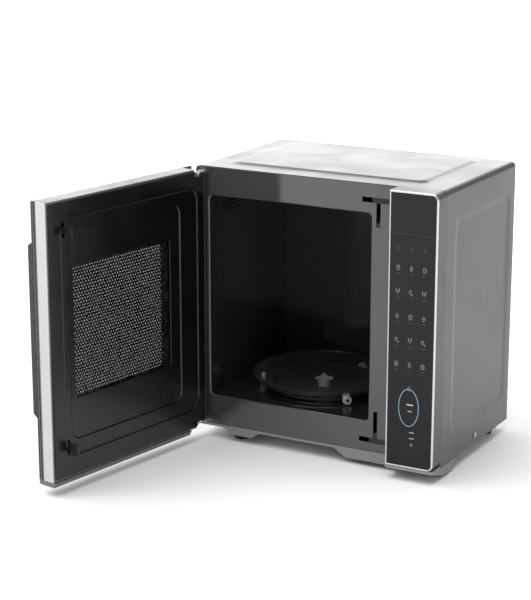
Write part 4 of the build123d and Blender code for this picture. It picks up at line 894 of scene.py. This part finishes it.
notch_x = (door_x - 1 * mm, door_x + notch_width)
cut_box(liner, notch_x, liner_y, (door_high.z - notch_height, door_high.z + 1 * mm))
cut_box(liner, notch_x, liner_y, (door_low.z - 1 * mm, door_low.z + notch_height))
latch_low, latch_high = shut_box("door_latch")
latch_x = (latch_low.x + latch_high.x) / 2
half_claw_slot = 2.8 * mm
claw_slot = (latch_x - half_claw_slot, latch_x + half_claw_slot)
for claw_low, claw_high in (
    (cabinet_base + 381 * mm, cabinet_base + 405 * mm),
    (cabinet_base + 42 * mm, cabinet_base + 66 * mm),
):
    cut_box(liner, claw_slot, liner_y, (claw_low, claw_high))
modify(liner, "BEVEL", width=liner_edge, segments=2, limit_method="ANGLE", angle_limit=radians(28))
swing_open(liner)
settle(liner, "liner", liner_black, "door", "liner_black", "door_liner")

# ---------------------------------------------------------------- window screen
# A punched steel sheet, painted black, keeps the microwaves in. Its round holes stand in
# staggered rows, so the sheet is a honeycomb of six-sided cells with a hole in each. A clear
# plastic film inside it keeps splashes out of the holes.
choke_paint = finish("choke_paint", (0.004, 0.004, 0.0045), 0.12, (0.45, 0.55), grain_size=1200)
dress(choke_paint, "choke_pan")
screen_low, screen_high = shut_box("window_screen")
hole_pitch = 5.8 * mm
hole_radius = 1.45 * mm
cell_radius = hole_pitch / sqrt(3)
row_step = hole_pitch * sqrt(3) / 2
screen_margin = 2.5 * mm
screen_columns = int((screen_high.x - screen_low.x - screen_margin) / hole_pitch)
screen_row_pairs = int((screen_high.z - screen_low.z - screen_margin) / row_step / 2)
screen_width = (screen_columns - 0.5) * hole_pitch
screen_height = (2 * screen_row_pairs - 1) * row_step
screen_thickness = 0.45 * mm
first_hole = (screen_low + screen_high - Vector((screen_width, 0, screen_height))) / 2
bpy.ops.object.select_all(action="DESELECT")
bpy.ops.mesh.primitive_circle_add(
    vertices=6, radius=cell_radius, fill_type="NGON", location=first_hole, rotation=(pi / 2, 0, 0)
)
screen = bpy.context.object
bpy.ops.object.mode_set(mode="EDIT")
bpy.ops.mesh.select_all(action="SELECT")
bpy.ops.mesh.inset(thickness=(cell_radius - hole_radius) * cos(pi / 6), depth=0)
bpy.ops.mesh.delete(type="FACE")
bpy.ops.mesh.select_all(action="SELECT")
bpy.ops.mesh.duplicate_move(TRANSFORM_OT_translate={"value": (hole_pitch / 2, 0, row_step)})
bpy.ops.object.mode_set(mode="OBJECT")
bpy.ops.object.transform_apply(location=True, rotation=True, scale=True)
for count, offset in ((screen_columns, (hole_pitch, 0, 0)), (screen_row_pairs, (0, 0, 2 * row_step))):
    modify(
        screen,
        "ARRAY",
        count=count,
        use_relative_offset=False,
        use_constant_offset=True,
        constant_offset_displace=offset,
        use_merge_vertices=True,
        merge_threshold=0.02 * mm,
    )
modify(screen, "SOLIDIFY", thickness=screen_thickness, offset=0)
swing_open(screen)
settle(screen, "punched_screen", choke_paint, "door", "choke_paint", "window_screen", angle=50)


def clear_material(name, tint, index, gloss, through=1.0):
    """A see-through material whose gloss varies a little, as on a wiped surface."""
    material = bpy.data.materials.new(name)
    material.use_nodes = True
    tree = material.node_tree
    shader = tree.nodes["Principled BSDF"]
    shader.inputs["Base Color"].default_value = (*tint, 1)
    shader.inputs["Transmission Weight"].default_value = through
    shader.inputs["IOR"].default_value = index
    smear = tree.nodes.new("ShaderNodeGroup")
    smear.node_tree = grain
    smear.inputs["Smooth"].default_value = gloss[0]
    smear.inputs["Rough"].default_value = gloss[1]
    tree.links.new(smear.outputs["Roughness"], shader.inputs["Roughness"])
    return material


clear_film = clear_material("clear_film", (0.9, 0.93, 0.93), 1.12, (0.0, 0.02))
dress(clear_film, "window_film")

# ---------------------------------------------------------------- door glass
# A sheet of dark tinted glass covers the whole door. Everything but the window is printed black
# on its back, which hides the moulded surround.
tinted = clear_material("door_glass_black", (0.30, 0.305, 0.31), 1.5, (0.02, 0.06))
dress(tinted, "door_glass")

print_black = finish("print_black", (0.006, 0.006, 0.007), 0.1, (0.3, 0.4), grain_size=800)
pane_low, pane_high = shut_box("door_glass")
print_face = pane_high.y - 0.2 * mm
print_film = 0.1 * mm
print_margin = 1.5 * mm
window_growth = 9 * mm
pane_x = (pane_low.x + print_margin, pane_high.x - print_margin)
pane_z = (pane_low.z + print_margin, pane_high.z - print_margin)
glass_print = outlined_sheet(
    (
        (pane_x, pane_z, print_face, 3 * mm),
        inside(window_x, window_z, -window_growth, print_face, 12 * mm),
    ),
    facing=1,
)
modify(glass_print, "SOLIDIFY", thickness=print_film, offset=0)
swing_open(glass_print)
settle(glass_print, "glass_print", print_black, "door", "door_glass_black")

# ---------------------------------------------------------------- handle
# A bowed bar moulded in satin black plastic. Its ends slope back to the door, and two screws
# hold it on through the glass.
handle_black = finish(
    "handle_black", (0.018, 0.018, 0.02), 0.1, (0.24, 0.34), grain_size=1700, depth=0.015 * mm
)
soften("door_handle", 2.6 * mm, handle_black, "door", "handle_black", "handle", steps=4)

# ---------------------------------------------------------------- latch
# An upright bar behind the free edge with two claws, pushed down by a coil spring. The spring
# is hung on the door as it is.
spring_steel = finish("spring_steel", (0.62, 0.62, 0.62), 0.05, (0.2, 0.3), metallic=1.0)
soften("door_latch", 0.4 * mm, part_plastic, "latch", "part_plastic", "latch_bar")
spring = merged_copy("latch_spring")
settle(spring, "latch_coil", spring_steel, "door", "spring_steel", "latch_spring", angle=60)
spring_low, spring_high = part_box("latch_spring")
spring_top = (spring_low + spring_high) / 2
spring_top.z = spring_high.z
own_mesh(spring)
dress(screw_steel, "handle_screws")

# ---------------------------------------------------------------- turntable
# A clear glass tray with a raised rim, its edges fire-polished round, stands on a dark moulded
# ring with three white wheels. A star-shaped coupler on the motor's shaft turns it.
tray_glass = clear_material("tray_glass", (0.86, 0.92, 0.91), 1.5, (0.02, 0.08), through=0.985)
tray_low, tray_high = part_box("glass_tray")
tray_radius = (tray_high.x - tray_low.x) / 2
foot_radius = tray_radius - 14 * mm
tray_floor = 4 * mm
groove_floor = tray_floor - 0.5 * mm
tray_centre = Vector((turn_centre.x, turn_centre.y, tray_low.z))
bpy.ops.object.select_all(action="DESELECT")
bpy.ops.mesh.primitive_circle_add(
    vertices=128, radius=foot_radius, fill_type="NGON", location=tray_centre
)
tray = bpy.context.object
bpy.ops.object.mode_set(mode="EDIT")
bpy.ops.mesh.select_all(action="SELECT")
radius = foot_radius
height = 0.0
for next_radius, next_height in (
    (tray_radius - 9 * mm, 2.2 * mm),
    (tray_radius - 1.2 * mm, 9.6 * mm),
    (tray_radius, 10.8 * mm),
    (tray_radius - 0.4 * mm, 11.8 * mm),
    (tray_radius - 2 * mm, 12 * mm),
    (tray_radius - 3.6 * mm, 11.6 * mm),
    (tray_radius - 12 * mm, 5.2 * mm),
    (tray_radius - 17 * mm, tray_floor),
    (tray_radius - 40 * mm, tray_floor),
    (tray_radius - 41 * mm, groove_floor),
    (tray_radius - 43 * mm, groove_floor),
    (tray_radius - 44 * mm, tray_floor),
    (30 * mm, tray_floor),
):
    bpy.ops.mesh.extrude_region_move(TRANSFORM_OT_translate={"value": (0, 0, next_height - height)})
    grow = next_radius / radius
    bpy.ops.transform.resize(value=(grow, grow, 1), center_override=tray_centre)
    radius, height = next_radius, next_height
bpy.ops.mesh.select_all(action="SELECT")
bpy.ops.mesh.normals_make_consistent(inside=False)
bpy.ops.object.mode_set(mode="OBJECT")
settle(tray, "tray", tray_glass, "tray", "tray_glass", "glass_tray", angle=50)

white_plastic = finish(
    "white_plastic", (0.74, 0.74, 0.71), 0.04, (0.35, 0.5), grain_size=900, depth=0.02 * mm
)
hub_radius = 4.1 * mm
hub_depth = 1.2 * mm
wheel_edge = 0.4 * mm
soften("roller_ring", 0.6 * mm, part_plastic, "ring", "part_plastic", "roller_track")
soften("tray_coupler", 0.5 * mm, white_plastic, "coupler", "white_plastic", "coupler_star")
for number in (1, 2, 3):
    wheel = merged_copy(f"roller_wheel_{number}")
    wheel_low, wheel_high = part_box(f"roller_wheel_{number}")
    hub = (wheel_low + wheel_high) / 2
    way_out = Vector((hub.x - turn_centre.x, hub.y - turn_centre.y, 0)).normalized()
    outer_face = max((vertex.co - hub).dot(way_out) for vertex in wheel.data.vertices)
    bpy.ops.object.select_all(action="DESELECT")
    bpy.ops.mesh.primitive_cylinder_add(vertices=32, radius=hub_radius, depth=2 * hub_depth)
    hollow = bpy.context.object
    hollow.location = hub + way_out * outer_face
    hollow.rotation_euler = way_out.to_track_quat("Z", "Y").to_euler()
    bpy.ops.object.transform_apply(location=True, rotation=True, scale=True)
    modify(wheel, "BOOLEAN", operation="DIFFERENCE", object=hollow, solver="EXACT")
    bpy.data.objects.remove(hollow)
    modify(wheel, "BEVEL", width=wheel_edge, segments=2, limit_method="ANGLE", angle_limit=radians(40))
    body = f"wheel_{number}"
    settle(wheel, body, white_plastic, body, "white_plastic", f"roller_wheel_{number}")

# ---------------------------------------------------------------- electronics bay
# Behind the control panel: boards, the magnetron with its fins, the transformer, the capacitor,
# the fan and the door switches. Each keeps its CAD shape and has its own finish.
board_green = finish("board_green", (0.03, 0.12, 0.055), 0.2, (0.3, 0.42), grain_size=500)
touch_film = finish("touch_film", (0.5, 0.51, 0.53), 0.08, (0.45, 0.6), grain_size=600)
motor_steel = finish("motor_steel", (0.5, 0.51, 0.52), 0.08, (0.3, 0.45), metallic=1.0, grain_size=400)
fin_aluminium = finish(
    "fin_aluminium", (0.78, 0.79, 0.8), 0.05, (0.28, 0.4), metallic=1.0, grain_size=500
)
copper = finish(
    "copper_winding",
    (0.56, 0.24, 0.10),
    0.15,
    (0.25, 0.4),
    metallic=1.0,
    grain_size=900,
    stretch=(1, 1, 5),
)
can_aluminium = finish(
    "can_aluminium",
    (0.72, 0.73, 0.74),
    0.05,
    (0.22, 0.34),
    metallic=1.0,
    grain_size=300,
    stretch=(1, 1, 8),
)
lamp_glass = clear_material("lamp_glass", (0.97, 0.96, 0.92), 1.5, (0.03, 0.1))
dress(board_green, "control_board", "filter_board")
dress(touch_film, "touch_sheet")
dress(
    part_plastic,
    "display_module",
    "hv_diode",
    "fan_shroud",
    "thermal_cutouts",
    "interlock_bracket",
    "door_switches",
)
dress(motor_steel, "turntable_motor", "magnetron_yoke", "filter_box", "transformer_core", "fan_motor")
dress(hinge_steel, "magnetron_anode")
dress(fin_aluminium, "cooling_fins")
dress(copper, "transformer_windings")
dress(can_aluminium, "capacitor")
dress(lamp_glass, "lamp_bulb")
dress(white_plastic, "lamp_holder", "fan_blade", "upper_switch_plunger", "lower_switch_plungers")
